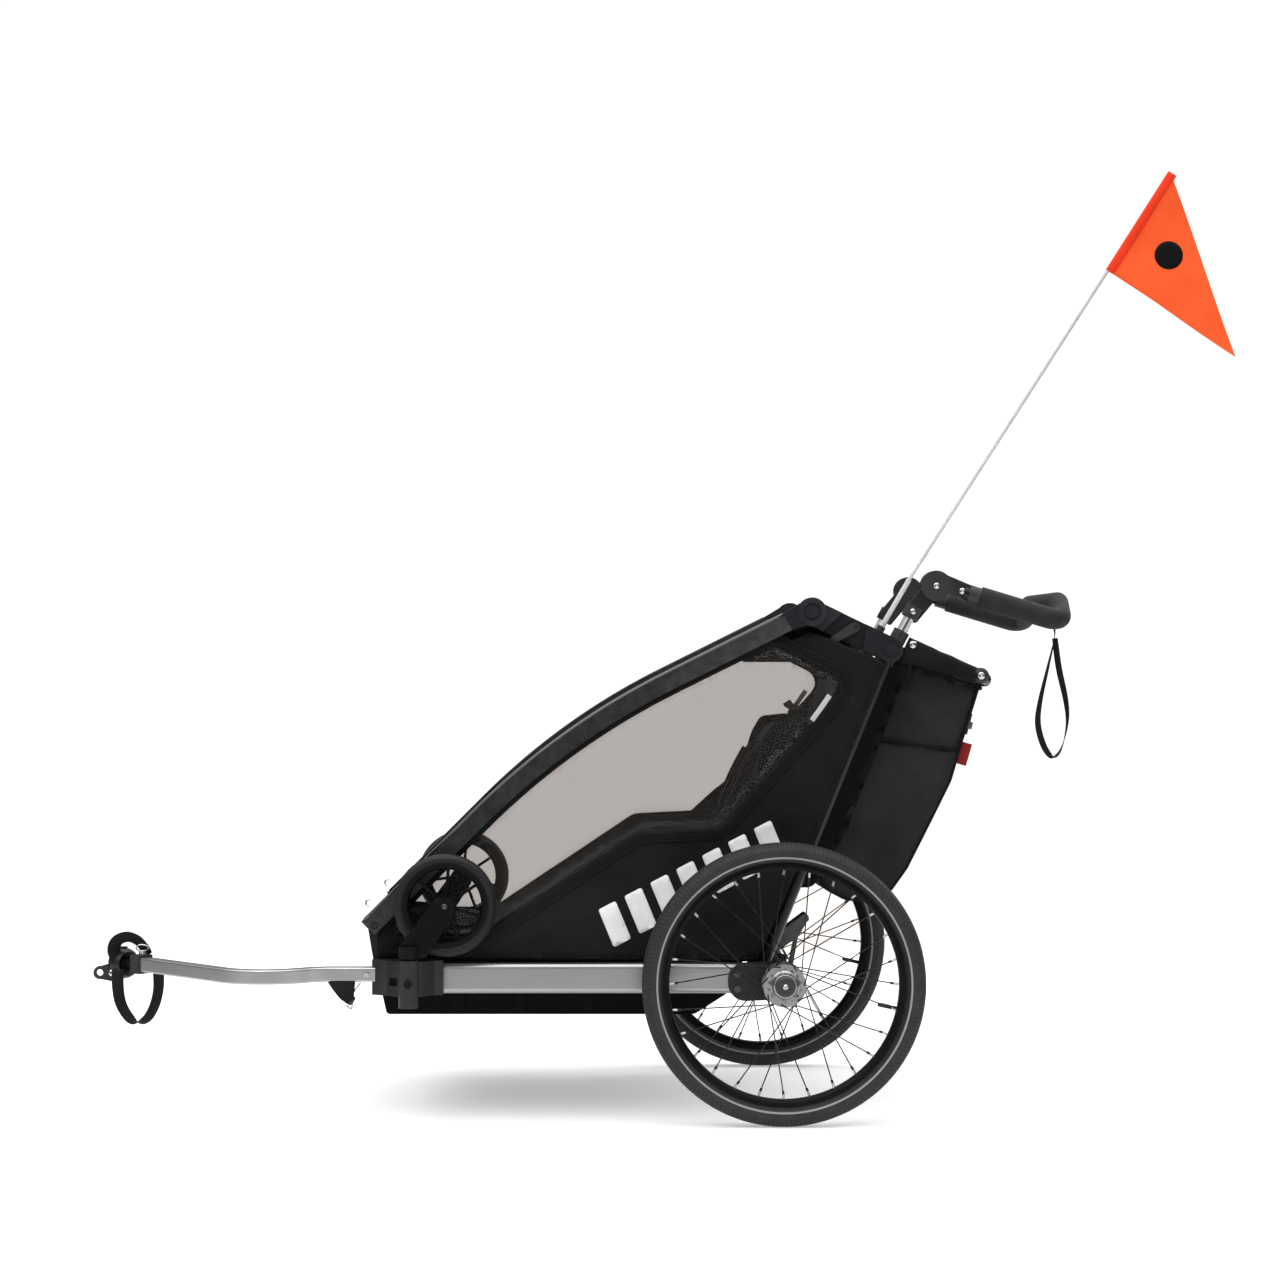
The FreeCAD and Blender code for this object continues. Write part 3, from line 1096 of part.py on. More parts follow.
def make_hitch():
    z = size("drawbar_z")
    centre = Vector(size("hitch_x"), size("hitch_y"), size("hitch_z"))
    begin, end = towards_hitch(0.2, z), towards_hitch(27, z)
    ahead = (end - begin).normalize()
    across = Vector(-ahead.y, ahead.x, 0)
    half = 16.5
    corners = [begin + across * half, end + across * half, end - across * half, begin - across * half]
    case = slab("hitch_case", [(c.x, c.y, 3) for c in corners], f"{z - half}", f"{z + half}")
    neck = rod("hitch_neck", tuple(end - ahead * 3), tuple(centre), "Sizes.hitch_neck_radius")
    stud = ball("hitch_ball", centre, "Sizes.hitch_ball_radius")
    pin_spot = towards_hitch(11, z)
    pin_hole = rod("hitch_pin_hole", (pin_spot.x, pin_spot.y, z - 20), (pin_spot.x, pin_spot.y, z + 20),
                   "Sizes.rivet_radius + Sizes.running_gap")
    block_body = fuse("hitch_block_body", case, neck, stud)
    sub_part("hitch_block", cut("hitch_block_drilled", block_body, pin_hole))
    pin = rod("pin_shank", (pin_spot.x, pin_spot.y, z - 18), (pin_spot.x, pin_spot.y, z + 20),
              "Sizes.rivet_radius")
    head = rod("pin_head", (pin_spot.x, pin_spot.y, z + half + 0.2),
               (pin_spot.x, pin_spot.y, z + 23), "Sizes.rivet_radius * 2")
    sub_part("hitch_pin", fuse("hitch_pin_body", pin, head))

    shell = ball("cup_ball", centre, "Sizes.hitch_cup_radius")
    cavity = ball("cup_cavity", centre, "Sizes.hitch_ball_radius + Sizes.running_gap")
    mouth = doc.addObject("Part::Cone", "cup_mouth")
    mouth.Radius1 = 7.4
    mouth.Radius2 = 34
    mouth.Height = 32
    mouth.Placement = Placement(centre, Rotation(Vector(0, 0, 1), ahead * -1))
    rivet = (1199, 238)
    half_arm = size("arm_half_thickness")
    slot = plate("cup_slot", [(rivet[0] - 9.5, rivet[1] + 8.5, 3), (1193, 250), (1193, 290), (1240, 290),
                              (1240, 205), (1186, 205), (rivet[0] - 9.5, rivet[1] - 9, 4)],
                 f"Sizes.hitch_y - {half_arm + 0.2}", f"Sizes.hitch_y + {half_arm + 0.2}")
    rivet_rod = rod("cup_rivet", (rivet[0], size("hitch_y") - 16, rivet[1]),
                    (rivet[0], size("hitch_y") + 16, rivet[1]), "Sizes.rivet_radius")
    cap = rod("cup_cap", (centre.x, centre.y, 278), (centre.x, centre.y, 284), "Sizes.yaw_cap_radius")
    hollow_shell = cut("cup_shell", shell, cavity, mouth, slot)
    sub_part("hitch_cup", fuse("hitch_cup_body", hollow_shell, rivet_rod, cap))

    eye = (size("eye_x"), size("eye_z"))
    hub = rod("arm_hub", (rivet[0], size("hitch_y") - half_arm, rivet[1]),
              (rivet[0], size("hitch_y") + half_arm, rivet[1]), "8.5")
    ring = rod("arm_ring", (eye[0], size("hitch_y") - half_arm, eye[1]),
               (eye[0], size("hitch_y") + half_arm, eye[1]), "Sizes.eye_radius")
    shoulder = size("arm_shoulder_half")
    tip_half = size("eye_radius") - 0.5
    bridge = plate("arm_bridge", [(rivet[0] + 1, rivet[1] + shoulder, 3), (eye[0], eye[1] + tip_half),
                                  (eye[0], eye[1] - tip_half), (rivet[0] + 1, rivet[1] - shoulder, 3)],
                   "Sizes.hitch_y - Sizes.arm_half_thickness", "Sizes.hitch_y + Sizes.arm_half_thickness")
    rivet_hole = rod("arm_rivet_hole", (rivet[0], 90, rivet[1]), (rivet[0], 150, rivet[1]),
                     "Sizes.rivet_radius + Sizes.running_gap")
    eye_hole = rod("arm_eye_hole", (eye[0], 90, eye[1]), (eye[0], 150, eye[1]), "Sizes.eye_hole_radius")
    arm_body = fuse("arm_plate_body", hub, ring, bridge)
    sub_part("hitch_arm", cut("arm_drilled", arm_body, rivet_hole, eye_hole))

    strap = plate("strap_loop", [
        (1197, 222), (1190, 180, 40), (1160, 147, 18), (1122, 172, 40), (1104, 226), (1121, 226),
        (1127, 185, 30), (1158, 156, 12), (1176, 182, 30), (1178, 222)], "150", "152")
    sub_part("hitch_strap", strap)


make_main_wheels()
make_side_rails()
make_corner_brackets()
make_axle_brackets()
make_frame_bolts()
make_cross_tubes()
make_castor()
make_front_arch()
make_uprights()
make_boot_frame()
make_handle_sockets()
make_link()
make_lock_levers()
make_handle()
make_flag()
make_floor_tub()
make_seat()
make_side_panels()
make_roof()
make_front()
make_luggage_bag()
make_brake()
make_drawbar()
make_hitch()
doc.recompute()

# ---------------------------------------------------------------- checks and files

broken = [item.Name for item in doc.Objects if {"Invalid", "Error"} & set(item.State)]
for item in sub_parts:
    if item.Shape.isNull() or not item.Shape.isValid() or not item.Shape.Solids:
        broken.append(item.Label)
if broken:
    raise RuntimeError("failed objects: " + ", ".join(broken))

os.makedirs("parts", exist_ok=True)
whole = FreeCAD.BoundBox()
for item in sub_parts:
    item.Shape.exportStep(f"parts/{item.Label}.step")
    whole.add(item.Shape.BoundBox)
print(len(sub_parts), "sub-parts,", "x", round(whole.XMin, 1), round(whole.XMax, 1),
      "y", round(whole.YMin, 1), round(whole.YMax, 1), "z", round(whole.ZMin, 1), round(whole.ZMax, 1))
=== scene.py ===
import math

import bpy
from mathutils import Matrix, Vector, geometry, noise


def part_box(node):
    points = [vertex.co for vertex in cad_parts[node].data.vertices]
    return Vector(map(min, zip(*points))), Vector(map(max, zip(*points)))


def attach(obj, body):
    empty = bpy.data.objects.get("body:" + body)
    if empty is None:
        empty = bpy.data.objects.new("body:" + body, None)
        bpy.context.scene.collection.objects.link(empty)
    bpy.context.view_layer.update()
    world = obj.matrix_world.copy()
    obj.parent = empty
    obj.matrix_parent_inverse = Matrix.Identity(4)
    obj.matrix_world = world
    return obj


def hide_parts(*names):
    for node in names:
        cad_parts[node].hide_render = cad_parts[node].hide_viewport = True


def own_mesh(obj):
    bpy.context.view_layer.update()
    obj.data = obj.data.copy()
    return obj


# A two-seat child bicycle trailer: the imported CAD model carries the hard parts, and this script
# gives them their finishes and builds the soft goods, webbing and small trim around them.
# Lengths are millimetres measured from the wheel axle on the middle plane, turned into metres
# by at(). +X is forward to the hitch, +Y is the trailer's left and +Z is up.

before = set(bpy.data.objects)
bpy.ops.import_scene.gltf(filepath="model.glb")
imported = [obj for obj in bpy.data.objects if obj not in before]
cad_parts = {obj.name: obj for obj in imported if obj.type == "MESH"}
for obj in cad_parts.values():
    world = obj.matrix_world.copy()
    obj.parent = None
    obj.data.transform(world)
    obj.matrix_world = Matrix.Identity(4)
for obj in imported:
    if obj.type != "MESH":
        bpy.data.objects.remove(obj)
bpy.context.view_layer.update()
MM = 0.001


def box_middle(node):
    low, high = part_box(node)
    return (low + high) / 2


AXLE_X = box_middle("left_tyre").x
AXLE_Z = box_middle("left_tyre").z / MM
WHEEL_Y = box_middle("left_tyre").y / MM
TYRE_RADIUS = (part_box("left_tyre")[1].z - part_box("left_tyre")[0].z) / 2 / MM


def at(x, y, z):
    """A point in metres from millimetres measured from the axle."""
    return Vector((AXLE_X + x * MM, y * MM, z * MM))


# ---------------------------------------------------------------- materials

class Shader:
    """A small helper that builds one node material around a Principled BSDF."""

    def __init__(self, name):
        self.material = bpy.data.materials.new(name)
        self.material.use_nodes = True
        self.tree = self.material.node_tree
        self.bsdf = self.tree.nodes["Principled BSDF"]
        self.place = self.tree.nodes.new("ShaderNodeTexCoord").outputs["Object"]

    def node(self, kind, **settings):
        made = self.tree.nodes.new(kind)
        for key, value in settings.items():
            if key.startswith("in_"):
                made.inputs[key[3:].replace("_", " ")].default_value = value
            else:
                setattr(made, key, value)
        return made

    def link(self, output, target):
        self.tree.links.new(output, target)

    def set(self, **inputs):
        for key, value in inputs.items():
            self.bsdf.inputs[key.replace("_", " ")].default_value = value

    def noise(self, scale, detail=3.0, roughness=0.55, stretch=(1, 1, 1)):
        mapped = self.node("ShaderNodeMapping")
        mapped.inputs["Scale"].default_value = stretch
        self.link(self.place, mapped.inputs["Vector"])
        cloud = self.node("ShaderNodeTexNoise", in_Scale=scale, in_Detail=detail, in_Roughness=roughness)
        self.link(mapped.outputs["Vector"], cloud.inputs["Vector"])
        return cloud.outputs["Fac"]

    def ramp(self, value, low, high, start=0.3, end=0.7):
        ramp = self.node("ShaderNodeValToRGB")
        ramp.color_ramp.elements[0].position = start
        ramp.color_ramp.elements[1].position = end
        ramp.color_ramp.elements[0].color = (*low, 1)
        ramp.color_ramp.elements[1].color = (*high, 1)
        self.link(value, ramp.inputs["Fac"])
        return ramp.outputs["Color"]

    def spread(self, value, low, high):
        """The value moved from 0..1 to low..high."""
        spread = self.node("ShaderNodeMapRange")
        spread.inputs["To Min"].default_value = low
        spread.inputs["To Max"].default_value = high
        self.link(value, spread.inputs["Value"])
        return spread.outputs["Result"]

    def maths(self, operation, first, second=None):
        sums = self.node("ShaderNodeMath", operation=operation)
        for index, value in enumerate((first, second)):
            if value is None:
                continue
            if isinstance(value, (int, float)):
                sums.inputs[index].default_value = value
            else:
                self.link(value, sums.inputs[index])
        return sums.outputs["Value"]

    def mix(self, share, low, high):
        blend = self.node("ShaderNodeMix", data_type="RGBA")
        for target, value in (("Factor_Float", share), ("A_Color", low), ("B_Color", high)):
            socket = next(s for s in blend.inputs if s.identifier == target)
            if isinstance(value, tuple):
                socket.default_value = (*value, 1)
            elif isinstance(value, (int, float)):
                socket.default_value = value
            else:
                self.link(value, socket)
        return next(s for s in blend.outputs if s.identifier == "Result_Color")

    def bump(self, height, distance, strength=1.0, under=None):
        bump = self.node("ShaderNodeBump", in_Strength=strength, in_Distance=distance)
        self.link(height, bump.inputs["Height"])
        if under is not None:
            self.link(under, bump.inputs["Normal"])
        return bump.outputs["Normal"]

    def edge_wear_and_highlight(self, start=0.52, end=0.6):
        """Bright where edges stick out, from the mesh's pointiness: worn edges on most parts, and a painted highlight
        on the arch bars.
        """
        edge = self.node("ShaderNodeNewGeometry").outputs["Pointiness"]
        ramp = self.ramp(edge, (0, 0, 0), (1, 1, 1), start, end)
        return self.maths("MULTIPLY", ramp, self.spread(self.noise(60), 0.2, 1.0))

    def axes(self):
        split = self.node("ShaderNodeSeparateXYZ")
        self.link(self.place, split.inputs["Vector"])
        return split.outputs

    def colour(self, value):
        self.link(value, self.bsdf.inputs["Base Color"])

    def roughness(self, value):
        self.link(value, self.bsdf.inputs["Roughness"])

    def normal(self, value):
        self.link(value, self.bsdf.inputs["Normal"])


def weave_height(shader, thread):
    """Over-and-under threads that show on any face, from sine bands along all three axes."""
    total = None
    for output in shader.axes():
        band = shader.maths("SINE", shader.maths("MULTIPLY", output, math.pi / (thread * MM)))
        total = band if total is None else shader.maths("ADD", total, band)
    return shader.maths("MULTIPLY", total, 0.17)


def fabric(name, base, lift, thread, sheen, rough=0.78, crease=0.6, painted_glow=0.0):
    """Woven cloth: threads, uneven dye, dusty sheen and soft creases; a glow above zero paints light into the cloth,
    which emits its own base colour though it is no lamp.
    """
    shader = Shader(name)
    dark = tuple(c * 0.72 for c in base)
    shader.colour(shader.ramp(shader.noise(9, 5), dark, lift, 0.25, 0.8))
    shader.roughness(shader.spread(shader.noise(35), rough - 0.1, min(1.0, rough + 0.1)))
    weave = shader.bump(weave_height(shader, thread), 0.35 * MM, 0.55)
    shader.normal(shader.bump(shader.noise(14, 4, stretch=(1, 1, 0.6)), 4 * MM, crease, under=weave))
    # The glow strength is painted light: an emission in the cloth's base colour.
    shader.set(Sheen_Weight=sheen, Sheen_Roughness=0.45, Specular_IOR_Level=0.12,
               Emission_Color=(*base, 1), Emission_Strength=painted_glow)
    return shader.material


def plastic(name, base, edge, rough=0.5, grain=0.25, gloss=0.25):
    """Moulded plastic: fine spark-eroded grain, paler rubbed edges and uneven gloss."""
    shader = Shader(name)
    body = shader.ramp(shader.noise(18, 4), tuple(c * 0.85 for c in base), tuple(c * 1.15 for c in base))
    shader.colour(shader.mix(shader.edge_wear_and_highlight(), body, edge))
    shader.roughness(shader.spread(shader.noise(45), rough - 0.08, rough + 0.1))
    shader.normal(shader.bump(shader.noise(1400, 2), grain * MM, 0.35))
    shader.set(Specular_IOR_Level=gloss)
    return shader.material


def painted(name, base, edge, rough=0.35):
    """Powder coat: slight orange peel and a thin bright colour on the edges: worn edges on most tubes, a painted
    highlight on the arch bars.
    """
    shader = Shader(name)
    body = shader.ramp(shader.noise(12, 3), tuple(c * 0.8 for c in base), tuple(c * 1.2 for c in base))
    shader.colour(shader.mix(shader.edge_wear_and_highlight(0.55, 0.66), body, edge))
    shader.roughness(shader.spread(shader.noise(50), rough - 0.07, rough + 0.1))
    shader.normal(shader.bump(shader.noise(520, 2), 0.12 * MM, 0.4))
    shader.set(Specular_IOR_Level=0.35)
    return shader.material


def alloy(name, base, rough, along=(1, 40, 40)):
    """Anodised or brushed metal: fine lines along the tube and faint handling marks."""
    shader = Shader(name)
    lines = shader.noise(22, 6, stretch=along)
    shader.colour(shader.ramp(lines, tuple(c * 0.93 for c in base), tuple(min(1, c * 1.04) for c in base)))
    marks = shader.maths("ADD", shader.spread(lines, 0, 0.08), shader.spread(shader.noise(7, 5), 0, 0.12))
    shader.roughness(shader.maths("ADD", marks, rough - 0.08))
    shader.normal(shader.bump(lines, 0.06 * MM, 0.4))
    shader.set(Metallic=1.0)
    return shader.material


def wheel_distance(shader, centre_x, centre_z):
    """Distance from a wheel's axle in the side plane, in millimetres."""
    x, _, z = shader.axes()
    across = shader.maths("SUBTRACT", x, centre_x)
    upward = shader.maths("SUBTRACT", z, centre_z)
    square = shader.maths("ADD", shader.maths("MULTIPLY", across, across),
                          shader.maths("MULTIPLY", upward, upward))
    distance = shader.maths("SQRT", square)
    angle = shader.maths("ARCTAN2", upward, across)
    return shader.maths("MULTIPLY", distance, 1 / MM), angle


def within(shader, value, low, high):
    """1 where the value lies between low and high, else 0."""
    above = shader.maths("GREATER_THAN", value, low)
    below = shader.maths("LESS_THAN", value, high)
    return shader.maths("MULTIPLY", above, below)


STRIPE_RADIUS = TYRE_RADIUS - 26


def tyre_rubber():
    """Black tyre with a lug pattern on the tread, painted shade in the grooves between the lugs, and a grey
    reflective ring on the sidewall.
    """
    shader = Shader("tyre_rubber")
    distance, angle = wheel_distance(shader, AXLE_X, AXLE_Z * MM)
    stripe = within(shader, distance, STRIPE_RADIUS - 1.6, STRIPE_RADIUS + 1.6)
    y = shader.maths("ABSOLUTE", shader.axes()[1])
    slant = shader.maths("MULTIPLY", shader.maths("ABSOLUTE", shader.maths("SUBTRACT", y, WHEEL_Y * MM)), 170)
    slant = shader.maths("ADD", slant, shader.maths("MULTIPLY", distance, 0.35))
    lugs = shader.maths("SINE", shader.maths("ADD", shader.maths("MULTIPLY", angle, 190), slant))
    lugs = shader.maths("GREATER_THAN", lugs, -0.45)
    on_tread = shader.maths("GREATER_THAN", distance, TYRE_RADIUS - 15)
    rubber = shader.ramp(shader.noise(40, 4), (0.006, 0.006, 0.0065), (0.014, 0.014, 0.0145))
    # The grooves between the lugs are coloured near-black: painted shade in the recesses.
    groove_shade = shader.maths("MULTIPLY", shader.maths("SUBTRACT", 1.0, lugs), on_tread)
    rubber = shader.mix(groove_shade, rubber, (0.0015, 0.0015, 0.0015))
    shader.colour(shader.mix(stripe, rubber, (0.24, 0.245, 0.25)))
    tread = shader.bump(shader.maths("MULTIPLY", lugs, on_tread), 1.6 * MM, 1.0)
    ribs = shader.maths("SINE", shader.maths("MULTIPLY", distance, 2.2))
    shader.normal(shader.bump(ribs, 0.15 * MM, 0.5, under=tread))
    shader.roughness(shader.spread(shader.noise(55), 0.55, 0.8))
    return shader.material


def rim_black():
    """Black anodised rim with a painted highlight: a lighter ring along its inner edge."""
    shader = Shader("rim_black")
    distance, _ = wheel_distance(shader, AXLE_X, AXLE_Z * MM)
    # A lighter ring inside the rim's inner edge: a painted highlight.
    edge = within(shader, distance, 0, TYRE_RADIUS - 46.2)
    body = shader.ramp(shader.noise(30), (0.002, 0.002, 0.0022), (0.005, 0.005, 0.0055))
    shader.colour(shader.mix(edge, body, (0.014, 0.014, 0.015)))
    shader.roughness(shader.spread(shader.noise(60), 0.3, 0.44))
    shader.normal(shader.bump(shader.noise(300), 0.05 * MM, 0.3))
    shader.set(Metallic=0.1, Specular_IOR_Level=0.1)
    return shader.material


def spoke_black():
    """Black steel spokes with silver nipples at the rim."""
    shader = Shader("spoke_black")
    distance, _ = wheel_distance(shader, AXLE_X, AXLE_Z * MM)
    nipple = shader.maths("GREATER_THAN", distance, TYRE_RADIUS - 56)
    wire = shader.ramp(shader.noise(90), (0.01, 0.01, 0.011), (0.03, 0.03, 0.032))
    shader.colour(shader.mix(nipple, wire, (0.5, 0.5, 0.51)))
    shader.roughness(shader.spread(shader.noise(80), 0.22, 0.38))
    shader.set(Metallic=0.85)
    return shader.material


def axle_cap():
    """Black cap outside the hub; the axle behind it is bare steel."""
    shader = Shader("axle_cap")
    y = shader.maths("ABSOLUTE", shader.axes()[1])
    outside = shader.maths("GREATER_THAN", y, (WHEEL_Y + 37) * MM)
    steel = shader.ramp(shader.noise(60), (0.45, 0.45, 0.46), (0.6, 0.6, 0.6))
    shader.colour(shader.mix(outside, steel, (0.02, 0.02, 0.021)))
    shader.roughness(shader.spread(shader.noise(70), 0.3, 0.5))
    shader.link(shader.maths("SUBTRACT", 1.0, outside), shader.bsdf.inputs["Metallic"])
    shader.normal(shader.bump(shader.noise(900), 0.1 * MM, 0.3))
    return shader.material


def window_film(name, tint, alpha):
    """Thin flexible film: tinted, glossy, with the slow ripples of stretched vinyl."""
    shader = Shader(name)
    shader.colour(shader.ramp(shader.noise(3, 3), tuple(c * 0.94 for c in tint), tint, 0.3, 0.7))
    shader.roughness(shader.spread(shader.noise(10), 0.1, 0.22))
    fresnel = shader.node("ShaderNodeLayerWeight", in_Blend=0.25)
    shader.link(shader.maths("ADD", shader.maths("MULTIPLY", fresnel.outputs["Facing"], 0.35), alpha),
                shader.bsdf.inputs["Alpha"])
    shader.normal(shader.bump(shader.noise(5, 2), 3 * MM, 0.25))
    shader.set(Specular_IOR_Level=0.5)
    return shader.material


def mesh_net(name):
    """Insect netting: a fine grid of threads with clear holes."""
    shader = Shader(name)
    x, y, z = shader.axes()
    run = shader.maths("ADD", x, shader.maths("MULTIPLY", z, -1.0))
    threads = []
    for value, pitch in ((run, 2.6), (y, 1.9)):
        wave = shader.maths("SINE", shader.maths("MULTIPLY", value, math.pi / (pitch * MM)))
        threads.append(shader.maths("GREATER_THAN", shader.maths("ABSOLUTE", wave), 0.72))
    shader.link(shader.maths("ADD", shader.maths("MULTIPLY", shader.maths("MAXIMUM", *threads), 0.75), 0.1),
                shader.bsdf.inputs["Alpha"])
    shader.colour(shader.ramp(shader.noise(20), (0.03, 0.03, 0.032), (0.06, 0.06, 0.063)))
    shader.set(Roughness=0.8)
    return shader.material


def foam_grip():
    """Closed-cell foam: dense fine pits over a soft, slightly lumpy skin."""
    shader = Shader("grip_foam")
    shader.colour(shader.ramp(shader.noise(25, 4), (0.006, 0.006, 0.006), (0.012, 0.012, 0.012)))
    shader.roughness(shader.spread(shader.noise(60), 0.72, 0.92))
    pits = shader.bump(shader.noise(900, 4, 0.7), 0.5 * MM, 0.6)
    shader.normal(shader.bump(shader.noise(30, 3), 2 * MM, 0.3, under=pits))
    return shader.material


def floor_material():
    shader = Shader("studio_floor")
    shader.colour(shader.ramp(shader.noise(2, 2), (0.66, 0.66, 0.66), (0.68, 0.68, 0.68)))
    shader.set(Roughness=0.9, Specular_IOR_Level=0.1, Emission_Color=(1, 1, 1, 1), Emission_Strength=0.38)
    return shader.material


CABIN = fabric("cabin_fabric", (0.0035, 0.0035, 0.0042), (0.0115, 0.0115, 0.0125), 0.5, 0.02, 0.72)
BINDING = fabric("binding_tape", (0.003, 0.003, 0.0038), (0.006, 0.006, 0.0075), 0.6, 0.02, 0.65, 0.2)
BAG = fabric("bag_fabric", (0.014, 0.014, 0.0145), (0.027, 0.027, 0.028), 0.55, 0.05, 0.75, 0.9)
SEAT = fabric("seat_fabric", (0.006, 0.006, 0.0065), (0.015, 0.015, 0.016), 0.8, 0.04, 0.85, 0.5)
WEBBING = fabric("webbing", (0.006, 0.006, 0.007), (0.014, 0.014, 0.015), 1.1, 0.05, 0.7, 0.15)
THREAD = fabric("stitch_thread", (0.02, 0.02, 0.022), (0.045, 0.045, 0.048), 0.3, 0.1, 0.6, 0.1)
REFLECTIVE = fabric("reflective_tape", (0.5, 0.5, 0.52), (0.66, 0.66, 0.68), 0.4, 0.1, 0.35, 0.1)
# The flag and its sleeve get a painted glow: they give off orange light though they are no lamps.
FLAG = fabric("flag_orange", (1.0, 0.11, 0.025), (1.0, 0.145, 0.038), 0.45, 0.05, 0.75, 0.35, painted_glow=0.28)
FLAG_SLEEVE = fabric("flag_sleeve", (0.95, 0.045, 0.013), (1.0, 0.065, 0.02), 0.45, 0.1, 0.7, 0.3, painted_glow=0.2)
TAG_RED = fabric("tag_red", (0.24, 0.016, 0.016), (0.32, 0.022, 0.022), 0.5, 0.03, 0.6, 0.2)
PANEL_PRINT = fabric("panel_print", (0.86, 0.86, 0.87), (0.94, 0.94, 0.95), 0.5, 0.05, 0.6, 0.1)
FILM = window_film("window_film", (0.05, 0.046, 0.042), 0.215)
FRONT_FILM = window_film("front_film", (0.6, 0.6, 0.6), 0.16)
NET = mesh_net("insect_net")
RAIL = alloy("anodised_rail", (0.36, 0.355, 0.35), 0.32)
HANDLE_ALLOY = alloy("handle_alloy", (0.55, 0.55, 0.56), 0.28)
DRAWBAR_ALLOY = alloy("drawbar_alloy", (0.42, 0.42, 0.425), 0.28)
HUB_ALLOY = alloy("hub_alloy", (0.34, 0.34, 0.345), 0.34, (1, 1, 1))
DARK_BOLT = alloy("dark_bolt", (0.1, 0.1, 0.105), 0.4, (1, 1, 1))
ARCH_EDGE = alloy("arch_edge", (0.13, 0.13, 0.135), 0.22)
BRIGHT_STEEL = alloy("bright_steel", (0.6, 0.6, 0.61), 0.24, (1, 1, 1))
BRACKET = plastic("bracket_plastic", (0.009, 0.0095, 0.0105), (0.028, 0.029, 0.031), 0.44, 0.3)
CASTOR = plastic("castor_plastic", (0.0022, 0.0022, 0.0024), (0.008, 0.008, 0.0085), 0.5, gloss=0.1)
CASTOR_TYRE = plastic("castor_rubber", (0.009, 0.009, 0.0095), (0.02, 0.02, 0.02), 0.55, 0.15)
LINK = plastic("link_plastic", (0.0115, 0.012, 0.015), (0.03, 0.03, 0.036), 0.42)
HINGE = plastic("hinge_plastic", (0.02, 0.02, 0.0205), (0.045, 0.045, 0.047), 0.45)
TUB = plastic("tub_shell", (0.0015, 0.0015, 0.0016), (0.004, 0.004, 0.0044), 0.6, 0.4, gloss=0.08)
BRAKE_GREY = plastic("brake_grey", (0.1, 0.1, 0.11), (0.2, 0.2, 0.21), 0.45)
POLE = plastic("pole_white", (0.58, 0.58, 0.56), (0.66, 0.66, 0.64), 0.35, 0.05)
# The arch bars' bright edge colour (0.085 against a base of 0.0022) is a painted highlight along their edges.
ARCH = painted("arch_tube", (0.0022, 0.0022, 0.0026), (0.085, 0.085, 0.088), 0.22)
TUBE = painted("frame_tube", (0.003, 0.003, 0.0035), (0.025, 0.025, 0.026), 0.36)
CASTING = painted("black_casting", (0.004, 0.004, 0.0045), (0.025, 0.025, 0.026), 0.48)
HITCH_STEEL = painted("hitch_steel", (0.009, 0.009, 0.0095), (0.04, 0.04, 0.042), 0.38)

CAD_FINISH = {
    "side_rails": RAIL, "corner_brackets": BRACKET, "axle_brackets": CASTING, "frame_bolts": DARK_BOLT,
    "cross_tubes": TUBE, "floor_tub": TUB, "arch_bars": ARCH, "arch_end_caps": LINK,
    "rear_uprights": TUBE, "boot_frame": TUBE, "handle_sockets": HINGE, "link_bars": LINK,
    "handle_stems": HANDLE_ALLOY, "hinge_bases": HINGE, "hinge_arms": HINGE, "handle_bar": TUBE,
    "handle_grip": foam_grip(), "flag_pole": POLE, "brake_pedal": BRAKE_GREY, "drawbar": DRAWBAR_ALLOY,
    "snap_button": BRIGHT_STEEL, "hitch_block": BRACKET, "hitch_pin": BRIGHT_STEEL,
    "hitch_cup": HITCH_STEEL, "hitch_arm": HITCH_STEEL,
}
SIDED_FINISH = {
    "tyre": tyre_rubber(), "rim": rim_black(), "spokes": spoke_black(), "hub": HUB_ALLOY,
    "axle_pin": axle_cap(), "axle_button": BRIGHT_STEEL, "castor_tyre": CASTOR_TYRE,
    "castor_wheel": CASTOR, "castor_fork": CASTOR, "castor_stem": CASTOR, "castor_button": CASTOR,
    "lock_lever": HINGE,
}


def finish_cad_nodes():
    finishes = dict(CAD_FINISH)
    for side in ("left", "right"):
        for part, material in SIDED_FINISH.items():
            finishes[f"{side}_{part}"] = material
    for node, material in finishes.items():
        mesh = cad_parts[node].data
        mesh.materials.clear()
        mesh.materials.append(material)


# ---------------------------------------------------------------- mesh helpers

def new_piece(name, points, faces, material, body, smooth=True):
    """A mesh piece from points in metres, riding on a body."""
    mesh = bpy.data.meshes.new(name)
    mesh.from_pydata([tuple(p) for p in points], [], faces)
    mesh.validate()
    mesh.polygons.foreach_set("use_smooth", [smooth] * len(mesh.polygons))
    mesh.materials.append(material)
    mesh.update()
    piece = bpy.data.objects.new(name, mesh)
    bpy.context.scene.collection.objects.link(piece)
    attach(piece, body)
    return piece


def apply_modifiers(piece):
    """Turns the piece's modifiers into plain mesh."""
    graph = bpy.context.evaluated_depsgraph_get()
    mesh = bpy.data.meshes.new_from_object(piece.evaluated_get(graph))
    piece.modifiers.clear()
    piece.data = mesh
    return piece


def thicken(piece, thickness, offset=0.0):
    """Gives a sheet its thickness in millimetres."""
    modifier = piece.modifiers.new("thickness", "SOLIDIFY")
    modifier.thickness = thickness * MM
    modifier.offset = offset
    modifier.use_even_offset = False
    return apply_modifiers(piece)


def crumple(piece):
    """Gives the piece its own copy of its mesh data."""
    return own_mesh(piece)


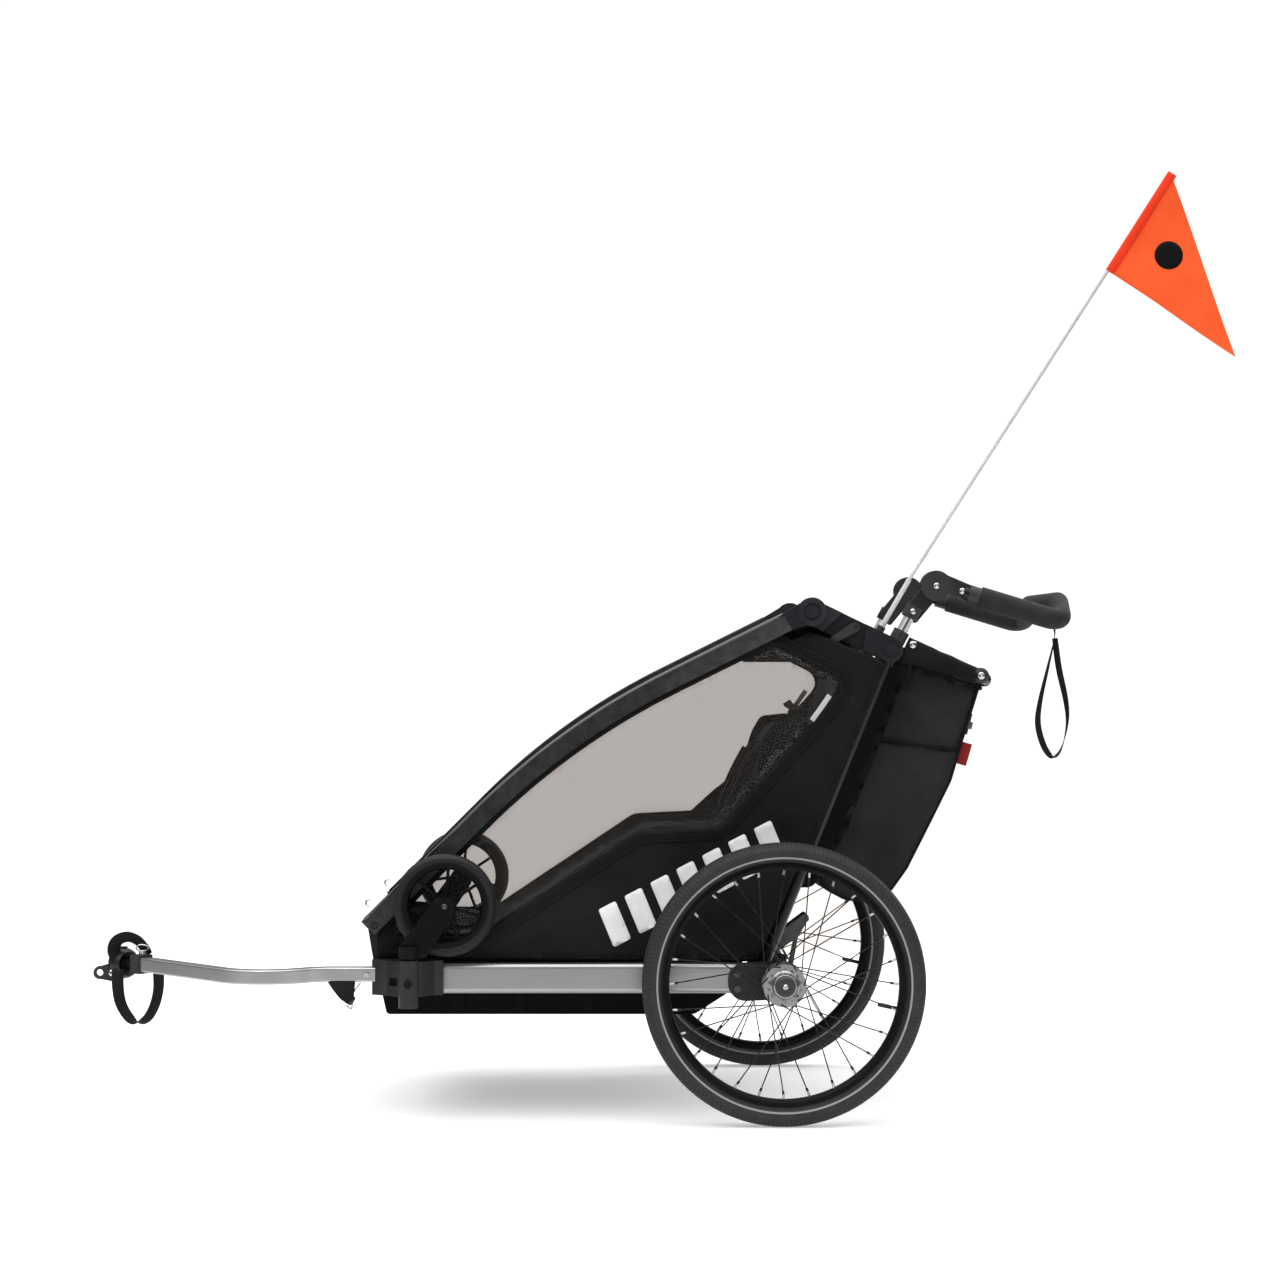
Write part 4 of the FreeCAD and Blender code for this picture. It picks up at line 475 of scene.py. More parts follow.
def sweep(points, ring, closed=False):
    """Vertices and faces of a cross-section carried along a line; ring is (side, up) pairs in mm."""
    points = [Vector(p) for p in points]
    count = len(points)
    verts, faces = [], []
    side = None
    for index, point in enumerate(points):
        before = points[index - 1] if (closed or index) else point
        after = points[(index + 1) % count] if (closed or index < count - 1) else point
        ahead = (after - before).normalized()
        if side is None:
            guess = Vector((0, 1, 0)) if abs(ahead.y) < 0.9 else Vector((1, 0, 0))
            side = guess - ahead * guess.dot(ahead)
        else:
            side = side - ahead * side.dot(ahead)
        side.normalize()
        up = side.cross(ahead)
        for across, height in ring:
            verts.append(point + side * (across * MM) + up * (height * MM))
    size = len(ring)
    spans = count if closed else count - 1
    for index in range(spans):
        start, following = index * size, ((index + 1) % count) * size
        for k in range(size):
            n = (k + 1) % size
            faces.append((start + k, start + n, following + n, following + k))
    if not closed:
        faces.append(tuple(range(size - 1, -1, -1)))
        faces.append(tuple(range((count - 1) * size, count * size)))
    return verts, faces


def circle(radius, sides=12, flatten=1.0):
    return [(radius * math.cos(2 * math.pi * k / sides), radius * flatten * math.sin(2 * math.pi * k / sides))
            for k in range(sides)]


def band(width, thickness):
    """Cross-section of a strap: flat with rounded edges."""
    half, thick = width / 2, thickness / 2
    soft = min(thick, half) * 0.9
    return [(-half, -thick + soft), (-half + soft, -thick), (half - soft, -thick), (half, -thick + soft),
            (half, thick - soft), (half - soft, thick), (-half + soft, thick), (-half, thick - soft)]


def smooth_line(points, steps=8, closed=False):
    """A Catmull-Rom line through the given points."""
    points = [Vector(p) for p in points]
    count = len(points)
    line = []
    spans = count if closed else count - 1
    for index in range(spans):
        p1, p2 = points[index], points[(index + 1) % count]
        p0 = points[index - 1] if (closed or index) else p1 * 2 - p2
        p3 = points[(index + 2) % count] if (closed or index < count - 2) else p2 * 2 - p1
        for step in range(steps):
            t = step / steps
            line.append(0.5 * ((2 * p1) + (p2 - p0) * t + (2 * p0 - 5 * p1 + 4 * p2 - p3) * t * t
                               + (3 * p1 - p0 - 3 * p2 + p3) * t ** 3))
    if not closed:
        line.append(points[-1])
    return line


def tube_piece(name, points, radius, material, body, sides=12, closed=False, flatten=1.0):
    verts, faces = sweep(points, circle(radius, sides, flatten), closed)
    return new_piece(name, verts, faces, material, body)


def strap_piece(name, points, width, material, body, thickness=1.6, side=None, closed=False):
    """A flat strap along a line; side is the direction its width points in."""
    points = [Vector(p) for p in points]
    count = len(points)
    ring = band(width, thickness)
    verts, faces = [], []
    for index, point in enumerate(points):
        before = points[index - 1] if (closed or index) else point
        after = points[(index + 1) % count] if (closed or index < count - 1) else point
        ahead = (after - before).normalized()
        wide = side(index / max(1, count - 1)) if callable(side) else Vector(side)
        wide = (wide - ahead * wide.dot(ahead)).normalized()
        up = wide.cross(ahead)
        for across, height in ring:
            verts.append(point + wide * (across * MM) + up * (height * MM))
    size = len(ring)
    for index in range(count if closed else count - 1):
        start, following = index * size, ((index + 1) % count) * size
        for k in range(size):
            n = (k + 1) % size
            faces.append((start + k, start + n, following + n, following + k))
    if not closed:
        faces.append(tuple(range(size - 1, -1, -1)))
        faces.append(tuple(range((count - 1) * size, count * size)))
    return new_piece(name, verts, faces, material, body)


def rounded_outline(corners, arc_steps=7):
    """A closed flat outline of (x, z[, bend radius]) corners as dense points."""
    outline = []
    count = len(corners)
    for index, corner in enumerate(corners):
        here = Vector(corner[:2])
        radius = corner[2] if len(corner) > 2 else 0
        if not radius:
            outline.append(here)
            continue
        back = (Vector(corners[index - 1][:2]) - here)
        ahead = (Vector(corners[(index + 1) % count][:2]) - here)
        half = back.angle(ahead) / 2
        reach = min(radius / math.tan(half), back.length * 0.49, ahead.length * 0.49)
        radius = reach * math.tan(half)
        middle = here + (back.normalized() + ahead.normalized()).normalized() * (radius / math.sin(half))
        start = here + back.normalized() * reach - middle
        turn = start.angle_signed(here + ahead.normalized() * reach - middle)
        for step in range(arc_steps + 1):
            outline.append(middle + Matrix.Rotation(-turn * step / arc_steps, 2) @ start)
    return outline


def spaced(outline, gap, closed=True):
    """The outline again with points no further apart than the gap."""
    dense = []
    count = len(outline)
    for index in range(count if closed else count - 1):
        start, end = outline[index], outline[(index + 1) % count]
        pieces = max(1, math.ceil((end - start).length / gap))
        dense += [start.lerp(end, k / pieces) for k in range(pieces)]
    if not closed:
        dense.append(outline[-1])
    return [p for k, p in enumerate(dense) if (p - dense[k - 1]).length > 0.4]


def inside(outline, point):
    hit = False
    for k, end in enumerate(outline):
        start = outline[k - 1]
        if (start.y > point.y) != (end.y > point.y):
            if point.x < (end.x - start.x) * (point.y - start.y) / (end.y - start.y) + start.x:
                hit = not hit
    return hit


def edge_distance(outline, point):
    best = 1e9
    for k, end in enumerate(outline):
        start = outline[k - 1]
        span = end - start
        share = max(0.0, min(1.0, (point - start).dot(span) / max(span.length_squared, 1e-9)))
        best = min(best, (point - start - span * share).length)
    return best


def flat_sheet(outline, holes, gap):
    """A triangle mesh that fills a flat outline around its holes: (points, triangles, edge distances)."""
    rims = [spaced(outline, gap)] + [spaced(hole, gap) for hole in holes]
    points, edges = [], []
    for rim in rims:
        first = len(points)
        points += rim
        edges += [(first + k, first + (k + 1) % len(rim)) for k in range(len(rim))]
    low = Vector((min(p.x for p in rims[0]), min(p.y for p in rims[0])))
    high = Vector((max(p.x for p in rims[0]), max(p.y for p in rims[0])))
    row = 0
    z = low.y + gap * 0.5
    while z < high.y:
        x = low.x + gap * (0.25 if row % 2 else 0.75)
        while x < high.x:
            spot = Vector((x, z))
            if inside(rims[0], spot) and not any(inside(rim, spot) for rim in rims[1:]):
                if min(edge_distance(rim, spot) for rim in rims) > gap * 0.55:
                    points.append(spot)
            x += gap
        z += gap * 0.87
        row += 1
    made = geometry.delaunay_2d_cdt(points, edges, [], 0, 1e-4)
    points, triangles = made[0], made[2]
    kept = []
    for triangle in triangles:
        middle = (points[triangle[0]] + points[triangle[1]] + points[triangle[2]]) / 3
        if inside(rims[0], middle) and not any(inside(rim, middle) for rim in rims[1:]):
            kept.append(tuple(triangle))
    used = sorted({k for triangle in kept for k in triangle})
    index_of = {old: new for new, old in enumerate(used)}
    points = [points[k] for k in used]
    kept = [tuple(index_of[k] for k in triangle) for triangle in kept]
    distances = [min(edge_distance(rim, p) for rim in rims) for p in points]
    return points, kept, distances


def crowned(point, distance, y, bulge, wrinkle, reach=70):
    """How far out a side sheet stands at a point that lies this far inside its edges."""
    rise = 1 - (1 - min(1.0, distance / reach)) ** 2
    ripple = noise.noise(Vector((point.x * 0.012, point.y * 0.02, y))) * wrinkle
    fold = noise.noise(Vector((point.x * 0.045, point.y * 0.03, y + 7))) * wrinkle * 0.45
    return y + rise * bulge + (ripple + fold) * min(1, distance / 14)


def side_sheet(name, outline, holes, y, bulge, material, body, side=1, gap=11, wrinkle=0.8,
               thickness=1.2, reach=70, surface=None):
    """A fabric sheet in a side plane at y, crowned outwards, or laid on another surface."""
    points, triangles, distances = flat_sheet(outline, holes, gap)
    verts = []
    for point, distance in zip(points, distances):
        out = surface(point) if surface else crowned(point, distance, y, bulge, wrinkle, reach)
        verts.append(at(point.x, side * out, point.y))
    piece = new_piece(name, verts, triangles, material, body)
    return thicken(piece, thickness)


def stitch_row(name, points, body, material=None, length=3.4, gap=2.6, radius=0.42):
    """A row of separate thread stitches lying along a line of points in metres."""
    verts, faces = [], []
    points = [Vector(p) for p in points]
    travelled, due = 0.0, 0.0
    for start, end in zip(points, points[1:]):
        span = (end - start).length
        if span < 1e-7:
            continue
        ahead = (end - start) / span
        while due <= travelled + span:
            spot = start + ahead * (due - travelled)
            low, tall = spot - ahead * (length / 2 * MM), spot + ahead * (length / 2 * MM)
            ring_verts, ring_faces = sweep([low, low.lerp(tall, 0.2), low.lerp(tall, 0.8), tall],
                                           circle(radius, 5))
            first = len(verts)
            verts += ring_verts
            faces += [tuple(first + k for k in face) for face in ring_faces]
            due += (length + gap) * MM
        travelled += span
    return new_piece(name, verts, faces, material or THREAD, body)


def both_sides(build):
    """Builds a piece for the left and the right side; build takes the side's name and sign."""
    return [build("left", 1), build("right", -1)]


# ---------------------------------------------------------------- the roof's side line

KNEE = Vector((393, 688))
LOWER_SLOPE = math.radians(45)
UPPER_SLOPE = math.radians(26.5)
ROOF_BEND = 1300
NOSE_REACH = 482
REAR_REACH = 493
BEND_REACH = ROOF_BEND * math.tan((LOWER_SLOPE - UPPER_SLOPE) / 2)


def roof_line(depth, front_reach, back_reach, gap=14):
    """Points (x, z) along the roof, a depth below the top of the arch bars, front to back."""
    def ray(slope, distance, below):
        return (KNEE + Vector((math.cos(slope), -math.sin(slope))) * distance
                - Vector((math.sin(slope), math.cos(slope))) * below)

    centre = ray(LOWER_SLOPE, BEND_REACH, ROOF_BEND)
    line = [ray(LOWER_SLOPE, front_reach, depth)]
    steps = 16
    for step in range(steps + 1):
        angle = LOWER_SLOPE + (UPPER_SLOPE - LOWER_SLOPE) * step / steps
        line.append(centre + Vector((math.sin(angle), math.cos(angle))) * (ROOF_BEND - depth))
    line.append(ray(UPPER_SLOPE, -back_reach, depth))
    return spaced(line, gap, closed=False)


def cover_sheet(name, line, half_width, material, body, sag, columns=34, thickness=1.2,
                replaces=(), ripple=1.2, squashed=True):
    """A sheet stretched across the trailer along a side line of (x, z) points, hollow in the middle."""
    verts, faces = [], []
    total = len(line) - 1
    for i, spot in enumerate(line):
        along = i / total
        before, after = line[max(0, i - 1)], line[min(total, i + 1)]
        ahead = (after - before).normalized()
        out = Vector((ahead.y, -ahead.x))
        if out.y < 0 and abs(out.y) > abs(out.x) * 0.2:
            out = -out
        ends = math.sin(math.pi * min(1, max(0, along))) ** 0.5 if 0 < along < 1 else 0
        for j in range(columns + 1):
            across = -1 + 2 * j / columns
            drop = sag * (1 - across ** 2) * ends
            wave = noise.noise(Vector((spot.x * 0.012, across * 5, spot.y * 0.012))) * ripple * (1 - across ** 4)
            place = spot - out * (drop + wave)
            verts.append(at(place.x, across * half_width, place.y))
    width = columns + 1
    for i in range(total):
        for j in range(columns):
            faces.append((i * width + j, i * width + j + 1, (i + 1) * width + j + 1, (i + 1) * width + j))
    piece = thicken(new_piece(name, verts, faces, material, body), thickness)
    if replaces:
        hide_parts(*replaces)
    return crumple(piece) if squashed else piece


COVER_HALF = 301
SHEET_DEPTH = 7


def strip_between(name, line, low_across, high_across, material, lift=1.2, squashed=True, sag=0):
    """A narrow band of tape on a cover, between two shares of its half width."""
    verts, faces = [], []
    for i, spot in enumerate(line):
        before, after = line[max(0, i - 1)], line[min(len(line) - 1, i + 1)]
        ahead = (after - before).normalized()
        out = Vector((ahead.y, -ahead.x))
        if out.y < 0:
            out = -out
        along = i / (len(line) - 1)
        ends = math.sin(math.pi * along) ** 0.5 if 0 < along < 1 else 0
        for j in range(5):
            across = low_across + (high_across - low_across) * j / 4
            place = spot + out * (lift - sag * (1 - across ** 2) * ends)
            verts.append(at(place.x, across * COVER_HALF, place.y))
    for i in range(len(line) - 1):
        for j in range(4):
            faces.append((i * 5 + j, i * 5 + j + 1, (i + 1) * 5 + j + 1, (i + 1) * 5 + j))
    piece = thicken(new_piece(name, verts, faces, material, "chassis"), 0.9)
    return crumple(piece) if squashed else piece


def build_roof():
    """Fabric roof at the back, clear film with netting above the nose, and their seams."""
    roof_front = 205
    roof = roof_line(SHEET_DEPTH, roof_front, REAR_REACH - 48)
    cover_sheet("roof_cover_cloth", roof, COVER_HALF, CABIN, "chassis", 9,
                replaces=("roof_cover",))
    nose = front_line(8, roof_front - 8, NOSE_REACH - 12)
    cover_sheet("front_window_film", nose, COVER_HALF - 6, FRONT_FILM, "chassis", 4,
                replaces=("front_window",), ripple=0.8)
    net = front_line(13, roof_front - 4, NOSE_REACH - 12)
    cover_sheet("front_insect_net", net, COVER_HALF - 6, NET, "chassis", 5, thickness=0.5)
    for index, (low, high) in enumerate(((-0.985, -0.87), (-0.06, 0.06), (0.87, 0.985))):
        strip_between(f"front_binding_{index}", front_line(8, roof_front - 6, NOSE_REACH - 12),
                      low, high, BINDING, sag=4)
        stitch_row_on_cover(f"front_binding_stitches_{index}",
                            front_line(8, roof_front, NOSE_REACH - 18), (low + high) / 2 + 0.045, 4, 2.2)
    for index, across in enumerate((-0.9, -0.34, 0.34, 0.9)):
        stitch_row_on_cover(f"roof_stitches_{index}", roof, across, 9, 1.0)
    sunshade_roll(roof_front)


def stitch_row_on_cover(name, line, across, sag, lift):
    points = []
    for i, spot in enumerate(line):
        before, after = line[max(0, i - 1)], line[min(len(line) - 1, i + 1)]
        ahead = (after - before).normalized()
        out = Vector((ahead.y, -ahead.x))
        if out.y < 0:
            out = -out
        along = i / (len(line) - 1)
        ends = math.sin(math.pi * along) ** 0.5 if 0 < along < 1 else 0
        place = spot + out * (lift - sag * (1 - across ** 2) * ends)
        points.append(at(place.x, across * COVER_HALF, place.y))
    return crumple(stitch_row(name, points, "chassis"))


def front_line(depth, start, end, gap=12):
    """Points down the straight front slope, between two reaches from the knee."""
    ahead = Vector((math.cos(LOWER_SLOPE), -math.sin(LOWER_SLOPE)))
    down = Vector((math.sin(LOWER_SLOPE), math.cos(LOWER_SLOPE)))
    return spaced([KNEE + ahead * start - down * depth, KNEE + ahead * end - down * depth], gap, closed=False)


def sunshade_roll(reach):
    """The rolled-up rain cover, strapped across the top of the clear window."""
    ahead = Vector((math.cos(LOWER_SLOPE), -math.sin(LOWER_SLOPE)))
    up = Vector((math.sin(LOWER_SLOPE), math.cos(LOWER_SLOPE)))
    centre = KNEE + ahead * (reach + 8) - up * 22
    verts, faces = [], []
    rows, sides = 60, 20
    for i in range(rows + 1):
        across = -1 + 2 * i / rows
        pinch = 1 - 0.2 * sum(math.exp(-((across - spot) / 0.035) ** 2) for spot in (-0.55, 0.55))
        for k in range(sides):
            angle = 2 * math.pi * k / sides
            lump = 1 + 0.1 * noise.noise(Vector((across * 7, math.cos(angle) * 1.5, math.sin(angle) * 1.5)))
            radius = 11.5 * pinch * lump * (1 - 0.25 * abs(across) ** 12)
            spot = centre + Vector((math.cos(angle), math.sin(angle))) * radius
            verts.append(at(spot.x, across * 272, spot.y))
    for i in range(rows):
        for k in range(sides):
            n = (k + 1) % sides
            faces.append((i * sides + k, i * sides + n, (i + 1) * sides + n, (i + 1) * sides + k))
    faces.append(tuple(range(sides - 1, -1, -1)))
    faces.append(tuple(range(rows * sides, (rows + 1) * sides)))
    crumple(new_piece("rain_cover_roll", verts, faces, CABIN, "chassis"))
    for index, across in enumerate((-150, 150)):
        ring = [at((centre + Vector((math.cos(a), math.sin(a))) * 11.6).x, across,
                   (centre + Vector((math.cos(a), math.sin(a))) * 11.6).y)
                for a in [2 * math.pi * k / 28 for k in range(28)]]
        crumple(strap_piece(f"rain_cover_strap_{index}", ring, 16, WEBBING, "chassis", 1.2,
                            side=(0, 1, 0), closed=True))


# ---------------------------------------------------------------- side panels and windows

def window_corners():
    top = roof_line(42, 452, 405, gap=40)
    corners = [tuple(p) for p in top[:-1]] + [tuple(top[-1]) + (20,)]
    return corners + [(-117, 765, 26), (107.5, 510, 40), (252, 502.6, 40), (525, 320.5, 26),
                      (672, 320.5, 10)]


def panel_outline():
    top = [tuple(p) for p in roof_line(34, NOSE_REACH - 8, REAR_REACH - 66, gap=30)]
    return rounded_outline(top + [(-14.6, 836.4, 6), (-49, 853, 8), (-84, 841, 10), (-171, 805, 8),
                                  (-183, 796, 6), (-57, 482, 60), (-25, 430, 60), (29, 306, 14),
                                  (42, 278, 6), (704, 283, 6), (707, 318, 6)])


PANEL_Y = 305.5
PANEL_BULGE = 3.2
PANEL_WRINKLE = 1.3
PANEL_FLAT_EDGE = 22


def panel_surface():
    """The panel's distance from the middle plane; it lies flat along its bound edges."""
    rims = [spaced(panel_outline(), 12), spaced(rounded_outline(window_corners()), 12)]

    def height(point):
        distance = max(0.0, min(edge_distance(rim, point) for rim in rims) - PANEL_FLAT_EDGE)
        return crowned(point, distance, PANEL_Y, PANEL_BULGE, PANEL_WRINKLE)

    return height


PANEL_SURFACE = panel_surface()


def build_side(side_name, side):
    window = rounded_outline(window_corners())
    panel = side_sheet(f"{side_name}_side_panel", panel_outline(), [window], PANEL_Y, PANEL_BULGE, CABIN,
                       "chassis", side, gap=12, surface=PANEL_SURFACE)
    if side == 1:
        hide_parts("side_panels")
    crumple(panel)
    film = side_sheet(f"{side_name}_window_film", window, [], PANEL_Y - 0.4, 2.6, FILM, "chassis",
                      side, gap=16, wrinkle=1.2, thickness=0.5, reach=110)
    if side == 1:
        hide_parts("side_windows")
    crumple(film)
    inner = spaced(window, 8)
    wide = 21
    border = offset_outline(inner, wide / 2)
    strap = strap_piece(f"{side_name}_window_binding", [at(p.x, side * (PANEL_Y + 1.9), p.y) for p in border],
                        wide, BINDING, "chassis", 1.4,
                        side=FlatAcross(border, side), closed=True)
    crumple(strap)
    crumple(stitch_row(f"{side_name}_window_stitches",
                       [at(p.x, side * (PANEL_Y + 2.9), p.y) for p in offset_outline(inner, wide - 3)],
                       "chassis"))
    crumple(stitch_row(f"{side_name}_window_inner_stitches",
                       [at(p.x, side * (PANEL_Y + 2.9), p.y) for p in offset_outline(inner, 3)],
                       "chassis"))
    rim = spaced(offset_outline(spaced(panel_outline(), 8), -4), 8)
    crumple(stitch_row(f"{side_name}_panel_stitches",
                       [at(p.x, side * (PANEL_Y + 1.2), p.y) for p in rim], "chassis"))
    skirt = rounded_outline([(44, 292, 2), (700, 292, 2), (700, 275.5, 2), (44, 275.5, 2)], 2)
    side_sheet(f"{side_name}_lower_skirt", skirt, [], 297, 0.5, CABIN, "chassis", side, gap=16,
               wrinkle=0.3)
    corner = rounded_outline([(70, 800, 6), (70, 838, 6), (-14, 872, 4), (-88, 874, 6), (-126, 838, 6),
                              (-116, 800, 6)], 3)
    crumple(side_sheet(f"{side_name}_top_gusset", corner, [], 284, 0.6, CABIN, "chassis", side,
                       gap=14, wrinkle=0.3))
    reflective_strip(side_name, side)
    printed_bars(side_name, side)


class FlatAcross:
    """Gives a strap in a side plane its width direction, square to its own line."""

    def __init__(self, outline, side):
        self.directions = []
        count = len(outline)
        for k in range(count):
            ahead = (outline[(k + 1) % count] - outline[k - 1]).normalized()
            self.directions.append(Vector((ahead.y, 0, -ahead.x)) * side)

    def __call__(self, share):
        return self.directions[round(share * (len(self.directions) - 1))]


def offset_outline(outline, distance):
    """The closed outline moved outwards by a distance."""
    area = sum(a.x * b.y - b.x * a.y for a, b in zip(outline, outline[1:] + outline[:1]))
    sign = 1 if area > 0 else -1
    moved = []
    count = len(outline)
    for k, point in enumerate(outline):
        ahead = (outline[(k + 1) % count] - outline[k - 1]).normalized()
        moved.append(point + Vector((ahead.y, -ahead.x)) * distance * sign)
    return moved


def reflective_strip(side_name, side):
    """The silver safety strip at the back of the window."""
    y = side * (PANEL_Y + 4.2)
    line = smooth_line([at(-53, y, 698), at(-69, y, 720), at(-84, y, 742)])
    crumple(strap_piece(f"{side_name}_reflective_strip", line, 9, REFLECTIVE, "chassis", 0.8,
                        side=lambda share: Vector((0.82, 0, 0.57))))


def printed_bars(side_name, side):
    """A generic row of slanted pale bars printed on the lower panel."""
    start = Vector((293, 301))
    along = Vector((-0.887, 0.461))
    up = Vector((0.38, 0.92))
    bar_count, pitch, width, height = 7, 51, 34, 72
    for index in range(bar_count):
        base = start + along * (index * pitch)
        corners = [base, base + along * width]
        corners += [corners[1] + up * height, corners[0] + up * height]
        outline = rounded_outline([tuple(c) + (4,) for c in corners], 3)
        bars = side_sheet(f"{side_name}_printed_bar_{index}", outline, [], PANEL_Y, 0, PANEL_PRINT,
                          "chassis", side, gap=8, thickness=0.4,
                          surface=lambda point: PANEL_SURFACE(point) + 1.2)
        crumple(bars)


# ---------------------------------------------------------------- nose

def build_nose():
    """The fabric nose: it curls under the front of the arch and drops to the brackets."""
    ahead = Vector((math.cos(LOWER_SLOPE), -math.sin(LOWER_SLOPE)))
    down = Vector((math.sin(LOWER_SLOPE), math.cos(LOWER_SLOPE)))
    lip = KNEE + ahead * (NOSE_REACH - 14) - down * 6
    profile = [lip, lip + ahead * 10 - down * 1, Vector((724, 338)), Vector((712, 322)), Vector((711, 305)),
               Vector((713, 286)), Vector((708, 281))]
    line = [Vector((p.x, p.z)) for p in smooth_line([Vector((p.x, 0, p.y)) for p in profile], 6)]
    cover_sheet("nose_apron", line, COVER_HALF - 1, CABIN, "chassis", 5, 30,
                replaces=("front_panel",), ripple=2.0)

    def cheek(side_name, side):
        corners = [(640, 283, 8), (700, 283, 6), (709, 300, 10), (708, 320, 8), (690, 332, 10), (650, 330, 12)]
        piece = side_sheet(f"{side_name}_nose_cheek", rounded_outline(corners), [], 300.0, 1.4, CABIN,
                           "chassis", side, gap=9, wrinkle=1.0)
        crumple(piece)
        hook = [at(727, side * 235, 366), at(732, side * 235, 370), at(731, side * 235, 377),
                at(725, side * 235, 379)]
        crumple(tube_piece(f"{side_name}_cover_hook", smooth_line(hook), 1.4, BRIGHT_STEEL, "chassis",
                           sides=8))

    both_sides(cheek)
    for index, across in enumerate((-0.72, 0, 0.72)):
        start = KNEE + ahead * (NOSE_REACH - 60) - down * 3.5
        line = [at((start + ahead * step).x, across * COVER_HALF, (start + ahead * step).y)
                for step in range(0, 61, 10)]
        crumple(strap_piece(f"nose_strap_{index}", line, 18, WEBBING, "chassis", 1.4,
                            side=(0, 1, 0)))


# ---------------------------------------------------------------- seat

def puffed(name, verts, faces, material, slot, pressure=4.0, cap=14.0, frames=20):
    """A padded cushion: a closed form remeshed and blown up by cloth simulation, with a cap."""
    piece = new_piece(name, verts, faces, material, "chassis")
    remesh = piece.modifiers.new("remesh", "REMESH")
    remesh.mode = "VOXEL"
    remesh.voxel_size = 7 * MM
    apply_modifiers(piece)
    rest = [v.co.copy() for v in piece.data.vertices]
    cloth = piece.modifiers.new("cloth", "CLOTH")
    cloth.settings.use_pressure = True
    cloth.settings.uniform_pressure_force = pressure
    cloth.settings.effector_weights.gravity = 0
    cloth.settings.quality = 4
    cloth.collision_settings.use_collision = False
    cloth.point_cache.frame_start = 1
    cloth.point_cache.frame_end = frames
    for step in range(1, frames + 1):
        bpy.context.scene.frame_set(step)
    apply_modifiers(piece)
    bpy.context.scene.frame_set(1)
    limit = cap * MM
    for vertex, start in zip(piece.data.vertices, rest):
        moved = vertex.co - start
        if moved.length > limit:
            vertex.co = start + moved.normalized() * limit
    piece.data.polygons.foreach_set("use_smooth", [True] * len(piece.data.polygons))
    smooth = piece.modifiers.new("smooth", "SMOOTH")
    smooth.iterations = 4
    fine = piece.modifiers.new("fine", "SUBSURF")
    fine.levels = fine.render_levels = 1
    apply_modifiers(piece)
    if not piece.data.materials:
        piece.data.materials.append(material)
    return piece


def cushion_form(corner, along, across, thick, channels, rows=14, columns=16):
    """A closed quilted slab from a corner, two edge vectors and a thickness, in millimetres."""
    normal = along.cross(across).normalized()
    verts, faces = [], []
    for layer in (1, -1):
        for i in range(rows + 1):
            for j in range(columns + 1):
                u, v = i / rows, j / columns
                rim = min(1.0, 5 * min(u, 1 - u, v, 1 - v))
                crown = math.sqrt(max(0.0, 1 - (1 - rim) ** 2))
                groove = 1 - 0.45 * max(math.exp(-((u - c) / 0.035) ** 2) for c in channels)
                height = thick / 2 * (0.25 + 0.75 * crown) * (groove if layer == 1 else 1)
                verts.append(at(*(corner + along * u + across * v + normal * (height * layer))))
    width = columns + 1
    size = (rows + 1) * width
    for i in range(rows):
        for j in range(columns):
            a, b, c, d = i * width + j, i * width + j + 1, (i + 1) * width + j + 1, (i + 1) * width + j
            faces.append((a, d, c, b))
            faces.append((size + a, size + b, size + c, size + d))
    rim = [j for j in range(width)] + [i * width + columns for i in range(1, rows + 1)]
    rim += [rows * width + j for j in range(columns - 1, -1, -1)] + [i * width for i in range(rows - 1, 0, -1)]
    for k, a in enumerate(rim):
        b = rim[(k + 1) % len(rim)]
        faces.append((a, b, size + b, size + a))
    return verts, faces


SEAT_HALF = 240
BACK_FOOT = Vector((134, 0, 338))
BACK_TOP = Vector((-10, 0, 700))
BENCH_FRONT = Vector((392, 0, 322))


def build_seat():
    """Bench cushion, two quilted backs, a shell sheet behind them and two harnesses."""
    bench = cushion_form(Vector((150, -SEAT_HALF, 318)), Vector((238, 0, 8)), Vector((0, 2 * SEAT_HALF, 0)),
                         26, (0.33, 0.66), rows=16, columns=28)
    crumple(puffed("seat_bench_cushion", *bench, SEAT, "seat_fabric", cap=8))
    up = BACK_TOP - BACK_FOOT
    for index, low in enumerate((-SEAT_HALF, 6)):
        corner = Vector((BACK_FOOT.x - 16, low, BACK_FOOT.z + 4))
        form = cushion_form(corner, up * 0.97, Vector((0, SEAT_HALF - 6, 0)), 28, (0.25, 0.5, 0.75), 22, 16)
        crumple(puffed(f"seat_back_cushion_{index}", *form, SEAT, "seat_fabric", cap=8))
    profile = [Vector((404, 0, 300)), Vector((396, 0, 306)), Vector((250, 0, 300)), Vector((140, 0, 302)),
               Vector((96, 0, 330)), Vector((20, 0, 520)), Vector((-48, 0, 702)), Vector((-36, 0, 712))]
    line = [Vector((p.x, p.z)) for p in smooth_line(profile, 7)]
    verts, faces = [], []
    columns = 18
    for spot in line:
        for j in range(columns + 1):
            across = -1 + 2 * j / columns
            verts.append(at(spot.x, across * (SEAT_HALF + 5), spot.y + 6 * abs(across) ** 6))
    for i in range(len(line) - 1):
        for j in range(columns):
            a = i * (columns + 1) + j
            faces.append((a, a + 1, a + columns + 2, a + columns + 1))
    shell = thicken(new_piece("seat_hammock", verts, faces, CABIN, "chassis"), 2)
    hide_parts("seat")
    crumple(shell)
    for index, middle in enumerate((-123, 123)):
        harness(index, middle)
    backing()


